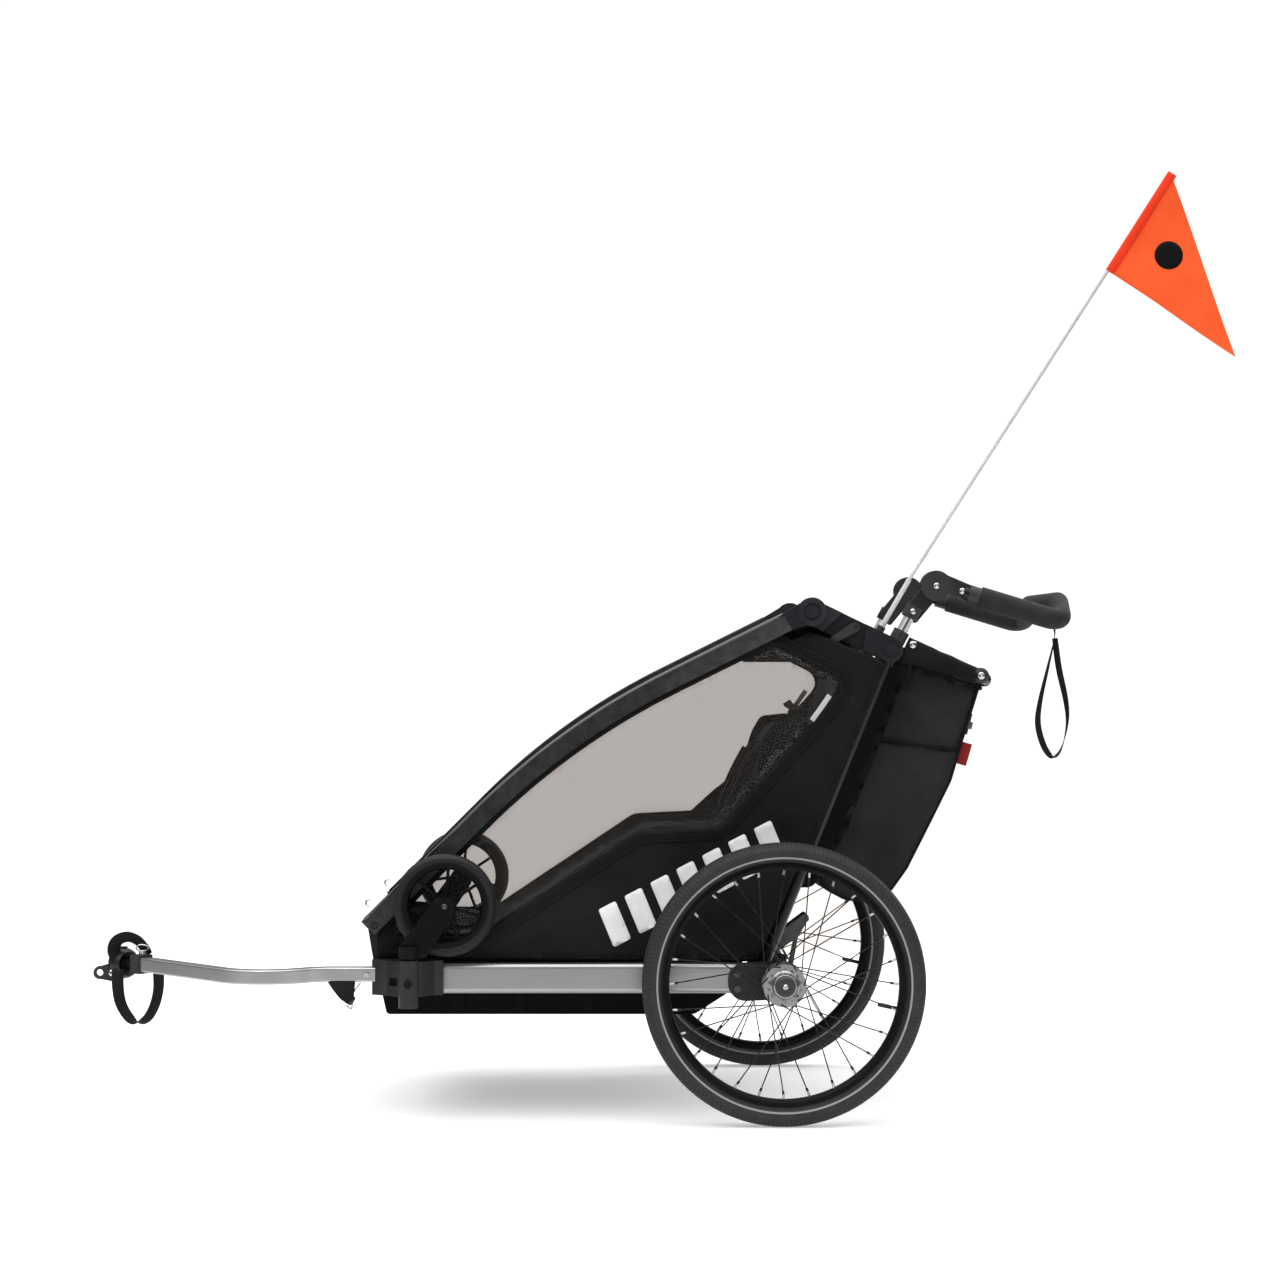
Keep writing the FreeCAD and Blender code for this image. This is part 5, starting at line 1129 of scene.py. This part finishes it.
def seat_wing(side_name, side):
    """The padded side of the seat back, stepped down to the bench."""
    corners = [(-58, 701, 14), (8, 694, 16), (25, 665, 12), (36, 630, 12), (38, 598, 14), (101, 549, 18),
               (146, 508, 20), (190, 345, 20), (110, 320, 20), (-40, 640, 30)]
    wing = side_sheet(f"{side_name}_seat_wing", rounded_outline(corners), [], 236, 9, SEAT, "chassis",
                      side, gap=11, wrinkle=2.0, thickness=3, reach=40)
    return crumple(wing)


def backing():
    """The sheet that closes the cabin behind the seats."""
    line = smooth_line([Vector((58, 0, 292)), Vector((10, 0, 420)), Vector((-50, 0, 600)),
                        Vector((-107, 0, 765))], 8)
    verts, faces = [], []
    columns = 20
    for i, spot in enumerate(line):
        for j in range(columns + 1):
            across = -1 + 2 * j / columns
            ripple = noise.noise(Vector((spot.z * 0.02, across * 3, 1))) * 3 * (1 - across ** 4)
            verts.append(at(spot.x + ripple + 6 * (1 - across ** 2), across * 248, spot.z))
    for i in range(len(line) - 1):
        for j in range(columns):
            a = i * (columns + 1) + j
            faces.append((a, a + 1, a + columns + 2, a + columns + 1))
    sheet = thicken(new_piece("back_cloth", verts, faces, CABIN, "chassis"), 1.4)
    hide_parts("back_panel")
    crumple(sheet)


def harness(index, middle):
    """Shoulder straps with pads, a lap strap and a round buckle for one child."""
    out = Vector((0.93, 0, 0.37))
    up = (BACK_TOP - BACK_FOOT).normalized()

    def on_back(share, y, lift):
        spot = BACK_FOOT + (BACK_TOP - BACK_FOOT) * share + out * lift
        return at(spot.x, y, spot.z)

    buckle = on_back(0.24, middle, 34)
    for side in (-1, 1):
        line = smooth_line([on_back(0.86, middle + side * 42, 4), on_back(0.8, middle + side * 42, 22),
                            on_back(0.55, middle + side * 38, 28), on_back(0.35, middle + side * 22, 32),
                            buckle])
        crumple(strap_piece(f"harness_{index}_shoulder_{'ab'[side > 0]}", line, 24, WEBBING, "chassis",
                            1.6, side=(0, 1, 0)))
        pad = smooth_line([on_back(0.8, middle + side * 42, 25), on_back(0.66, middle + side * 41, 31),
                           on_back(0.5, middle + side * 36, 32)])
        crumple(strap_piece(f"harness_{index}_pad_{'ab'[side > 0]}", pad, 40, SEAT, "chassis",
                            8, side=(0, 1, 0)))
        lap = smooth_line([on_back(0.05, middle + side * 104, 4), on_back(0.1, middle + side * 90, 24),
                           on_back(0.18, middle + side * 45, 34), buckle])
        crumple(strap_piece(f"harness_{index}_lap_{'ab'[side > 0]}", lap, 24, WEBBING, "chassis",
                            1.6, side=tuple(up)))
    crotch = smooth_line([at(210, middle, 334), at(185, middle, 356), at(160, middle, 392), buckle])
    crumple(strap_piece(f"harness_{index}_crotch", crotch, 24, WEBBING, "chassis", 1.6,
                        side=(0, 1, 0)))
    verts, faces = [], []
    sides = 24
    rings = ((0, 0.0), (19, 0.0), (22, 1.5), (22, 6), (19, 8), (8, 8.4), (7, 9.6), (0, 9.6))
    east = Vector((0, 1, 0))
    for radius, lift in rings:
        for k in range(sides):
            angle = 2 * math.pi * k / sides
            ray = east * math.cos(angle) + up * math.sin(angle)
            verts.append(buckle + ray * max(radius, 0.2) * MM + out * lift * MM)
    for r in range(len(rings) - 1):
        for k in range(sides):
            n = (k + 1) % sides
            faces.append((r * sides + k, r * sides + n, (r + 1) * sides + n, (r + 1) * sides + k))
    faces.append(tuple(range(sides - 1, -1, -1)))
    faces.append(tuple(range((len(rings) - 1) * sides, len(rings) * sides)))
    crumple(new_piece(f"harness_{index}_buckle", verts, faces, HINGE, "chassis"))


# ---------------------------------------------------------------- luggage bag

BAG_HALF = 224
BAG_LOOP = [(-355, 758, 0), (-323, 655, 60), (-304, 590, 60), (-271, 523, 60), (-226, 434, 50),
            (-196, 392, 24), (-125, 376, 40), (-70, 405, 30), (-84, 470, 30), (-222, 800, 0)]


def bag_loop():
    """The bag's side line from the top of its back, round the bottom, to the top of its front."""
    closed = rounded_outline([(-355, 758)] + BAG_LOOP[1:-1] + [(-222, 800)])
    return spaced(closed, 12, closed=False)


def build_bag():
    loop = bag_loop()
    verts, faces = [], []
    columns = 40
    total = len(loop) - 1
    for i, spot in enumerate(loop):
        before, after = loop[max(0, i - 1)], loop[min(total, i + 1)]
        ahead = (after - before).normalized()
        out = Vector((-ahead.y, ahead.x))
        if out.dot(spot - Vector((-200, 600))) < 0:
            out = -out
        along = i / total
        for j in range(columns + 1):
            across = -1 + 2 * j / columns
            belly = 9 * (1 - across ** 2) * math.sin(math.pi * along) ** 0.7 if 0 < along < 1 else 0
            crease = noise.noise(Vector((spot.x * 0.015, across * 4, spot.y * 0.015))) * 4.5
            crease += noise.noise(Vector((spot.x * 0.04, across * 9, spot.y * 0.04))) * 1.6
            place = spot + out * (belly + crease * (1 - across ** 6) - 1.5)
            verts.append(at(place.x, across * BAG_HALF, place.y))
    for i in range(total):
        for j in range(columns):
            a = i * (columns + 1) + j
            faces.append((a, a + 1, a + columns + 2, a + columns + 1))
    shell = thicken(new_piece("bag_shell", verts, faces, BAG, "rear_frame"), 1.6)
    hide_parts("luggage_bag")

    def gusset(side_name, side):
        outline = loop + spaced([loop[-1], loop[0]], 12, closed=False)[1:-1]
        side_sheet(f"{side_name}_bag_gusset", outline, [], BAG_HALF - 1, 7, BAG, "rear_frame",
                   side, gap=13, wrinkle=3.0, thickness=1.6, reach=90)
        tube_piece(f"{side_name}_bag_piping", [at(p.x, side * (BAG_HALF + 0.5), p.y) for p in spaced(loop, 7, False)],
                   3.2, BINDING, "rear_frame", sides=10)
        inner = [p + (Vector((-205, 600)) - p).normalized() * 9 for p in loop]
        stitch_row(f"{side_name}_bag_stitches", [at(p.x, side * (BAG_HALF + 1.8), p.y) for p in inner],
                   "rear_frame")
        pocket = [p for p in loop if p.y < 646] + [Vector((-172, 663))]
        pocket_outline = spaced(pocket, 12)
        side_sheet(f"{side_name}_bag_pocket", pocket_outline, [], BAG_HALF + 1.5, 9, BAG, "rear_frame",
                   side, gap=13, wrinkle=3.4, thickness=1.4, reach=60)
        hem = [at(-316, side * (BAG_HALF + 2), 643), at(-270, side * (BAG_HALF + 8), 649),
               at(-215, side * (BAG_HALF + 8), 658), at(-166, side * (BAG_HALF + 2), 664)]
        tube_piece(f"{side_name}_pocket_hem", smooth_line(hem), 2.4, BINDING, "rear_frame",
                   sides=10)
        web = smooth_line([at(-214, side * 246, 822), at(-224, side * 236, 806),
                           at(-226, side * (BAG_HALF + 3), 780), at(-222, side * (BAG_HALF + 4), 750)])
        strap_piece(f"{side_name}_bag_hanger", web, 20, WEBBING, "rear_frame", 1.5, side=(1, 0, 0.3))

    both_sides(gusset)
    top_rim = []
    for start, end in (((-350, 1), (-350, -1)), ((-222, -1), (-222, 1))):
        x = start[0]
        z = 757 if x == -350 else 801
        for k in range(13):
            across = start[1] + (end[1] - start[1]) * k / 12
            droop = -7 * (1 - across ** 2)
            top_rim.append(at(x, across * (BAG_HALF - 2), z + droop))
    tube_piece("bag_rim", smooth_line(top_rim, 3, closed=True), 4, BINDING, "rear_frame",
               sides=10, closed=True)
    bag_front_pocket()


def bag_gap_painted_shadow(side_name, side):
    """A dark sheet in the gap between the cabin and the bag: painted shadow where the gap lies in shade."""
    corners = [(-183, 800, 6), (-232, 800, 6), (-120, 500, 20), (-60, 400, 20), (-20, 400, 20), (-50, 500, 20)]
    side_sheet(f"{side_name}_rear_gap_shadow_sheet", rounded_outline(corners), [], BAG_HALF + 8, -6, BINDING,
               "rear_frame", side, gap=12, wrinkle=3.0, reach=40)


def bag_front_pocket():
    """A flap pocket with two buckled straps on the rear face of the bag."""
    slope = Vector((26, 93)).normalized()
    outward = Vector((-slope.y, slope.x))
    verts, faces = [], []
    rows, columns = 14, 26
    for i in range(rows + 1):
        v = i / rows
        for j in range(columns + 1):
            across = -1 + 2 * j / columns
            rim = min(1, 6 * min(v, 1 - v, (1 - abs(across)) / 2 + 0.001))
            lift = 9 + 9 * math.sin(math.pi / 2 * rim)
            base = Vector((-349, 748)).lerp(Vector((-318, 640)), v)
            spot = base + outward * lift
            verts.append(at(spot.x, across * 150, spot.y))
    for i in range(rows):
        for j in range(columns):
            a = i * (columns + 1) + j
            faces.append((a, a + 1, a + columns + 2, a + columns + 1))
    thicken(new_piece("bag_rear_flap", verts, faces, BAG, "rear_frame"), 1.5)
    for index, y in enumerate((-95, 95)):
        line = smooth_line([at(-340, y, 758), at(-362, y, 748), at(-347, y, 690), at(-330, y, 634),
                            at(-318, y, 604)])
        strap_piece(f"bag_flap_strap_{index}", line, 20, WEBBING, "rear_frame", 1.6,
                    side=(0, 1, 0))
        clip = smooth_line([at(-356, y, 706), at(-352, y, 690), at(-346, y, 668)])
        strap_piece(f"bag_flap_buckle_{index}", clip, 27, HINGE, "rear_frame", 6,
                    side=(0, 1, 0))
    strap_piece("bag_side_tag", smooth_line([at(-315, 216, 641), at(-339, 216, 634)]), 40, TAG_RED,
                "rear_frame", 1.6, side=(0.28, 0, 0.96))
    strap_piece("bag_side_buckle", smooth_line([at(-329, 214, 690), at(-345, 214, 686)]), 13, BRAKE_GREY,
                "rear_frame", 4, side=(0.28, 0, 0.96))


def build_boot_wrap():
    """Fabric sleeves round the boot bar, its black end plugs and silver caps."""
    def arm(side_name, side):
        y = side * 243.5
        start, end = Vector((-226, 833)), Vector((-354, 775))
        verts, faces = [], []
        rows, sides = 26, 20
        ahead = (end - start).normalized()
        up = Vector((-ahead.y, ahead.x))
        if up.y < 0:
            up = -up
        for i in range(rows + 1):
            t = i / rows
            centre = start.lerp(end, t)
            deep = 23 - 10 * t
            for k in range(sides):
                angle = 2 * math.pi * k / sides
                lump = 1 + 0.08 * noise.noise(Vector((t * 6, math.cos(angle), math.sin(angle) + side)))
                spot = centre + up * (math.sin(angle) * deep * lump + 12 - deep)
                verts.append(at(spot.x, y + side * math.cos(angle) * 13.5 * lump, spot.y))
        for i in range(rows):
            for k in range(sides):
                n = (k + 1) % sides
                faces.append((i * sides + k, i * sides + n, (i + 1) * sides + n, (i + 1) * sides + k))
        faces.append(tuple(range(sides - 1, -1, -1)))
        faces.append(tuple(range(rows * sides, (rows + 1) * sides)))
        new_piece(f"{side_name}_boot_sleeve", verts, faces, CABIN, "rear_frame")
        screw(f"{side_name}_boot_screw", at(-234.6, side * 256.5, 830.5), (0, side, 0), 7, 4, "rear_frame")
        lathe(f"{side_name}_boot_plug", at(-356, side * 236, 775.8), (0, side, 0),
              [(0, 0), (14, 0), (14, 17), (12, 20), (0, 20)], HINGE, "rear_frame")
        screw(f"{side_name}_boot_cap", at(-356, side * 255.5, 775.8), (0, side, 0), 7, 3, "rear_frame")

    both_sides(arm)
    verts, faces = [], []
    rows, sides = 40, 16
    for i in range(rows + 1):
        across = -1 + 2 * i / rows
        for k in range(sides):
            angle = 2 * math.pi * k / sides
            lump = 1 + 0.07 * noise.noise(Vector((across * 8, math.cos(angle), math.sin(angle))))
            verts.append(at(-366 + math.cos(angle) * 13 * lump, across * 214, 769 + math.sin(angle) * 13 * lump))
    for i in range(rows):
        for k in range(sides):
            n = (k + 1) % sides
            faces.append((i * sides + k, i * sides + n, (i + 1) * sides + n, (i + 1) * sides + k))
    faces.append(tuple(range(sides - 1, -1, -1)))
    faces.append(tuple(range(rows * sides, (rows + 1) * sides)))
    new_piece("boot_cross_sleeve", verts, faces, CABIN, "rear_frame")


# ---------------------------------------------------------------- small hard trim

def lathe(name, centre, axis, rings, material, body, sides=20):
    """A turned piece: rings are (radius, height along the axis) pairs in millimetres."""
    axis = Vector(axis).normalized()
    guess = Vector((0, 0, 1)) if abs(axis.z) < 0.9 else Vector((1, 0, 0))
    east = (guess - axis * guess.dot(axis)).normalized()
    north = axis.cross(east)
    verts, faces = [], []
    for radius, height in rings:
        for k in range(sides):
            angle = 2 * math.pi * k / sides
            ray = east * math.cos(angle) + north * math.sin(angle)
            verts.append(centre + (ray * max(radius, 0.15) + axis * height) * MM)
    for r in range(len(rings) - 1):
        for k in range(sides):
            n = (k + 1) % sides
            faces.append((r * sides + k, r * sides + n, (r + 1) * sides + n, (r + 1) * sides + k))
    faces.append(tuple(range(sides - 1, -1, -1)))
    faces.append(tuple(range((len(rings) - 1) * sides, len(rings) * sides)))
    piece = new_piece(name, verts, faces, material, body)
    return piece


def screw(name, centre, axis, radius, height, body, material=BRIGHT_STEEL):
    """A button head screw with a socket."""
    rings = [(radius, 0), (radius, height * 0.45), (radius * 0.8, height * 0.85), (radius * 0.55, height),
             (radius * 0.5, height), (radius * 0.45, height * 0.4), (0, height * 0.35)]
    return lathe(name, centre, axis, rings, material, body, 18)


def build_screws():
    def side_screws(side_name, side):
        hinge_body = "push_handle"
        screw(f"{side_name}_hinge_screw_a", at(-276.5, side * 258.4, 934.5), (0, side, 0), 6, 3, hinge_body)
        screw(f"{side_name}_hinge_screw_b", at(-322, side * 258.4, 925), (0, side, 0), 6, 3, hinge_body)
        screw(f"{side_name}_hinge_screw_c", at(-235, side * 257.6, 889), (0, side, 0), 5.5, 3, "push_stem")
        screw(f"{side_name}_castor_screw", at(586, side * 375, 378), (0, side, 0), 5, 2.5,
              f"{side_name}_castor_swivel", DARK_BOLT)

    both_sides(side_screws)


def build_valves():
    def valve(side_name, side):
        angle = math.radians(-12)
        inward = Vector((-math.cos(angle), 0, math.sin(angle)))
        start = at(0, side * WHEEL_Y, AXLE_Z) + inward * (TYRE_RADIUS - 47) * MM
        rings = [(3.2, 0), (3.2, 12), (3.8, 12.5), (3.8, 30), (2.6, 33), (0, 33.5)]
        lathe(f"{side_name}_valve", start, -inward, rings, HINGE, f"{side_name}_wheel", 14)

    both_sides(valve)


def build_tow_trim():
    """The safety strap, the pin's wire ring and the spare strap under the drawbar."""
    y = 147
    loop = smooth_line([at(1187, y - 6, 246), at(1186, y, 215), at(1180, y + 4, 185), at(1165, y + 6, 160),
                        at(1150, y + 6, 151), at(1133, y + 4, 158), at(1120, y + 2, 180),
                        at(1113, y, 210), at(1112, y + 4, 243)])
    strap = strap_piece("safety_strap", loop, 22, WEBBING, "tow_bar", 2,
                        side=lambda s: Vector((math.cos(1.1 * s), math.sin(0.6 + 1.9 * s) - 0.3, 0.1)))
    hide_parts("hitch_strap")
    top = smooth_line([at(1190, y - 16, 262), at(1195, y - 11, 280), at(1188, y - 6, 297),
                       at(1170, y - 5, 304), at(1152, y - 5, 298), at(1139, y - 6, 284),
                       at(1130, y - 6, 272)])

    def splayed(share):
        turn = math.radians(240 * share - 40)
        return Vector((0.75 * math.cos(turn), 0.66, 0.75 * math.sin(turn)))

    strap_piece("safety_strap_top", top, 27, WEBBING, "tow_bar", 2, side=splayed)
    pin = box_middle("hitch_pin")
    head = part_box("hitch_pin")[1].z
    ring = []
    for k in range(28):
        angle = 2 * math.pi * k / 28
        ring.append(Vector((pin.x + math.cos(angle) * 11 * MM, pin.y + math.sin(angle) * 4 * MM,
                            head + (6 + math.sin(angle) * 6) * MM)))
    tube_piece("hitch_pin_ring", ring, 1.1, BRIGHT_STEEL, "tow_pin", 8, closed=True)
    tail = smooth_line([at(790, 322, 242), at(778, 326, 226), at(764, 330, 212), at(752, 332, 216),
                        at(742, 332, 232), at(734, 331, 242)])
    strap_piece("frame_strap", tail, 16, WEBBING, "tow_bar", 1.8, side=(0, 1, 0))
    lathe("frame_strap_block", at(750, 331, 219), (0.5, 0, -0.8),
          [(0, -1), (8, -1), (9, 1), (9, 13), (7, 15), (0, 15)], HINGE, "tow_bar", 12)
    clip = smooth_line([at(753, 332, 216), at(748, 332, 205), at(751, 332, 196), at(759, 332, 203)], 6)
    tube_piece("frame_strap_clip", clip, 1.5, BRIGHT_STEEL, "tow_bar", 8)
    flap = rounded_outline([(792, 246, 3), (742, 246, 3), (745, 214, 4), (757, 207, 4), (768, 220, 8)])
    side_sheet("frame_strap_flap", flap, [], 343.5, 1.5, WEBBING, "tow_bar", gap=7, reach=15)
    screw("hitch_rivet_head", at(1199, 132.4, 238), (0, 1, 0), 6, 3, "tow_cup")


def build_brake_pad():
    """The rubber shoe over the brake pedal, broad enough for a foot."""
    outline = rounded_outline([(-69, 330, 5), (-60, 336, 4), (-10, 299, 9), (5, 279, 9), (-6, 268, 7),
                               (-46, 290, 12)])
    half_width = 27
    points = [at(p.x, half_width * edge, p.y) for edge in (-1, 1) for p in outline]
    count = len(outline)
    faces = [tuple(range(count - 1, -1, -1)), tuple(range(count, 2 * count))]
    faces += [(k, (k + 1) % count, count + (k + 1) % count, count + k) for k in range(count)]
    new_piece("brake_shoe", points, faces, BRAKE_GREY, "brake", smooth=False)


def build_arch_edges(side_name, side):
    """The rounded top edge of an arch bar, which catches the light."""
    line = roof_line(1.4, NOSE_REACH - 6, REAR_REACH - 52)
    tube_piece(f"{side_name}_arch_edge", [at(p.x, side * 319.8, p.y) for p in line], 2.6, ARCH_EDGE,
               "front_arch", sides=12)


def build_wrist_strap():
    """The parking strap that hangs from the push bar in a long loop."""
    y = 236
    loop = smooth_line([at(-487, y, 866), at(-488, y, 842), at(-476, y + 2, 790), at(-462, y + 4, 730),
                        at(-458, y + 6, 690), at(-468, y + 6, 652), at(-484, y + 4, 632),
                        at(-500, y, 646), at(-511, y - 4, 690), at(-509, y - 4, 730),
                        at(-496, y - 2, 790), at(-489, y - 1, 842)], 8)
    strap_piece("wrist_strap", loop, 11, WEBBING, "push_handle", 1.4,
                side=lambda s: Vector((math.cos(5.5 * s + 0.9), math.sin(5.5 * s + 0.9) + 0.2, 0)))


# ---------------------------------------------------------------- flag

def build_flag():
    """A waving pennant with a sewn sleeve round the pole and one plain dark disc."""
    y = box_middle("flag_cloth").y / MM
    tip, low = Vector((-688, 1662)), Vector((-578, 1489))
    far = Vector((-803, 1337))
    along = (tip - low).normalized()
    square = Vector((-along.y, along.x))
    if square.x > 0:
        square = -square
    verts, faces = [], []
    rows = 44
    columns = 26
    for i in range(rows + 1):
        start, end = tip.lerp(far, i / rows), low.lerp(far, i / rows)
        for j in range(columns + 1):
            spot = start.lerp(end, j / columns)
            reach = (spot - tip).dot(square)
            wave = math.sin(reach * 0.026 + spot.y * 0.004) * 5.0 * min(1, reach / 90)
            wave += noise.noise(Vector((spot.x * 0.01, spot.y * 0.01, 3))) * 3 * min(1, reach / 60)
            verts.append(at(spot.x, y + wave, spot.y))
    for i in range(rows):
        for j in range(columns):
            a = i * (columns + 1) + j
            faces.append((a, a + 1, a + columns + 2, a + columns + 1))
    cloth = thicken(new_piece("flag_pennant", verts, faces, FLAG, "safety_flag"), 0.7)
    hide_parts("flag_cloth")
    sleeve = []
    for start, end in ((tip, low),):
        for k in range(25):
            spot = start.lerp(end, k / 24) + square * -2.5
            sleeve.append(at(spot.x, y, spot.y))
    strap_piece("flag_sleeve", [p + Vector((square.x, 0, square.y)) * 6 * MM for p in sleeve], 17,
                FLAG_SLEEVE, "safety_flag", 8.4, side=(square.x, 0, square.y))
    hem = tip + square * 14
    stitch_row("flag_stitches", [at((hem + (low - tip) * k / 20).x, y + 4.6, (hem + (low - tip) * k / 20).y)
                                 for k in range(1, 20)], "safety_flag", FLAG_SLEEVE)
    emblem = Vector((-684, 1516))
    for side in (1, -1):
        points, triangles, _ = flat_sheet([emblem + Vector((math.cos(2 * math.pi * k / 36),
                                                            math.sin(2 * math.pi * k / 36))) * 25
                                           for k in range(36)], [], 9)
        disc = []
        for spot in points:
            reach = (spot - tip).dot(square)
            wave = math.sin(reach * 0.026 + spot.y * 0.004) * 5.0 * min(1, reach / 90)
            wave += noise.noise(Vector((spot.x * 0.01, spot.y * 0.01, 3))) * 3 * min(1, reach / 60)
            disc.append(at(spot.x, y + wave + side * 0.75, spot.y))
        name = "flag_disc_left" if side == 1 else "flag_disc_right"
        thicken(new_piece(name, disc, triangles, BINDING, "safety_flag"), 0.3)


# ---------------------------------------------------------------- stage

def build_stage():
    mesh = bpy.data.meshes.new("studio_floor")
    size = 2.6
    mesh.from_pydata([(-size, -size, 0), (size, -size, 0), (size, size, 0), (-size, size, 0)], [],
                     [(0, 1, 2, 3)])
    mesh.materials.append(floor_material())
    floor = bpy.data.objects.new("studio_floor", mesh)
    bpy.context.scene.collection.objects.link(floor)
    world = bpy.data.worlds.new("studio")
    bpy.context.scene.world = world
    world.use_nodes = True
    nodes, links = world.node_tree.nodes, world.node_tree.links
    room = nodes["Background"]
    room.inputs["Color"].default_value = (1, 1, 1, 1)
    direction = nodes.new("ShaderNodeTexCoord")
    split = nodes.new("ShaderNodeSeparateXYZ")
    links.new(direction.outputs["Generated"], split.inputs["Vector"])
    climb = nodes.new("ShaderNodeMapRange")
    for socket, value in (("From Min", 0.15), ("From Max", 0.95), ("To Min", 0.06), ("To Max", 1.5)):
        climb.inputs[socket].default_value = value
    links.new(split.outputs["Z"], climb.inputs["Value"])
    links.new(climb.outputs["Result"], room.inputs["Strength"])
    backdrop = nodes.new("ShaderNodeBackground")
    backdrop.inputs["Color"].default_value = (1, 0.945, 0.9, 1)
    backdrop.inputs["Strength"].default_value = 1.14
    ray = nodes.new("ShaderNodeLightPath")
    pick = nodes.new("ShaderNodeMixShader")
    links.new(ray.outputs["Is Camera Ray"], pick.inputs["Fac"])
    links.new(room.outputs["Background"], pick.inputs[1])
    links.new(backdrop.outputs["Background"], pick.inputs[2])
    links.new(pick.outputs["Shader"], nodes["World Output"].inputs["Surface"])
    sun = bpy.data.lights.new("overhead", "SUN")
    sun.energy = 2.1
    sun.angle = math.radians(85)
    overhead = bpy.data.objects.new("overhead", sun)
    overhead.rotation_euler = (math.radians(-14), math.radians(4), 0)
    bpy.context.scene.collection.objects.link(overhead)
    for name, spot, aim, width, power in (
            ("key", (1.4, 3.4, 2.6), (0, 0, 0.5), 1.6, 16), ("rim", (-2.6, -1.6, 2.4), (0, 0, 0.6), 1.2, 30)):
        lamp = bpy.data.lights.new(name, "AREA")
        lamp.energy = power
        lamp.size = width
        holder = bpy.data.objects.new(name, lamp)
        holder.location = spot
        holder.rotation_euler = (Vector(aim) - Vector(spot)).to_track_quat("-Z", "Y").to_euler()
        bpy.context.scene.collection.objects.link(holder)
    bpy.context.scene.view_settings.view_transform = "Standard"


def build_camera():
    camera = bpy.data.cameras.new("camera")
    camera.lens = 85
    camera.sensor_width = 36
    camera.shift_x = 0.0297
    camera.shift_y = 0.0078
    holder = bpy.data.objects.new("camera", camera)
    holder.location = at(313.8, 5592, 821.2)
    holder.rotation_euler = (math.radians(90), 0, math.radians(180))
    bpy.context.scene.collection.objects.link(holder)
    bpy.context.scene.camera = holder


finish_cad_nodes()
build_roof()
both_sides(build_side)
build_nose()
build_seat()
both_sides(seat_wing)
build_bag()
both_sides(bag_gap_painted_shadow)
build_boot_wrap()
build_screws()
build_valves()
build_tow_trim()
build_brake_pad()
both_sides(build_arch_edges)
build_wrist_strap()
build_flag()
build_stage()
build_camera()
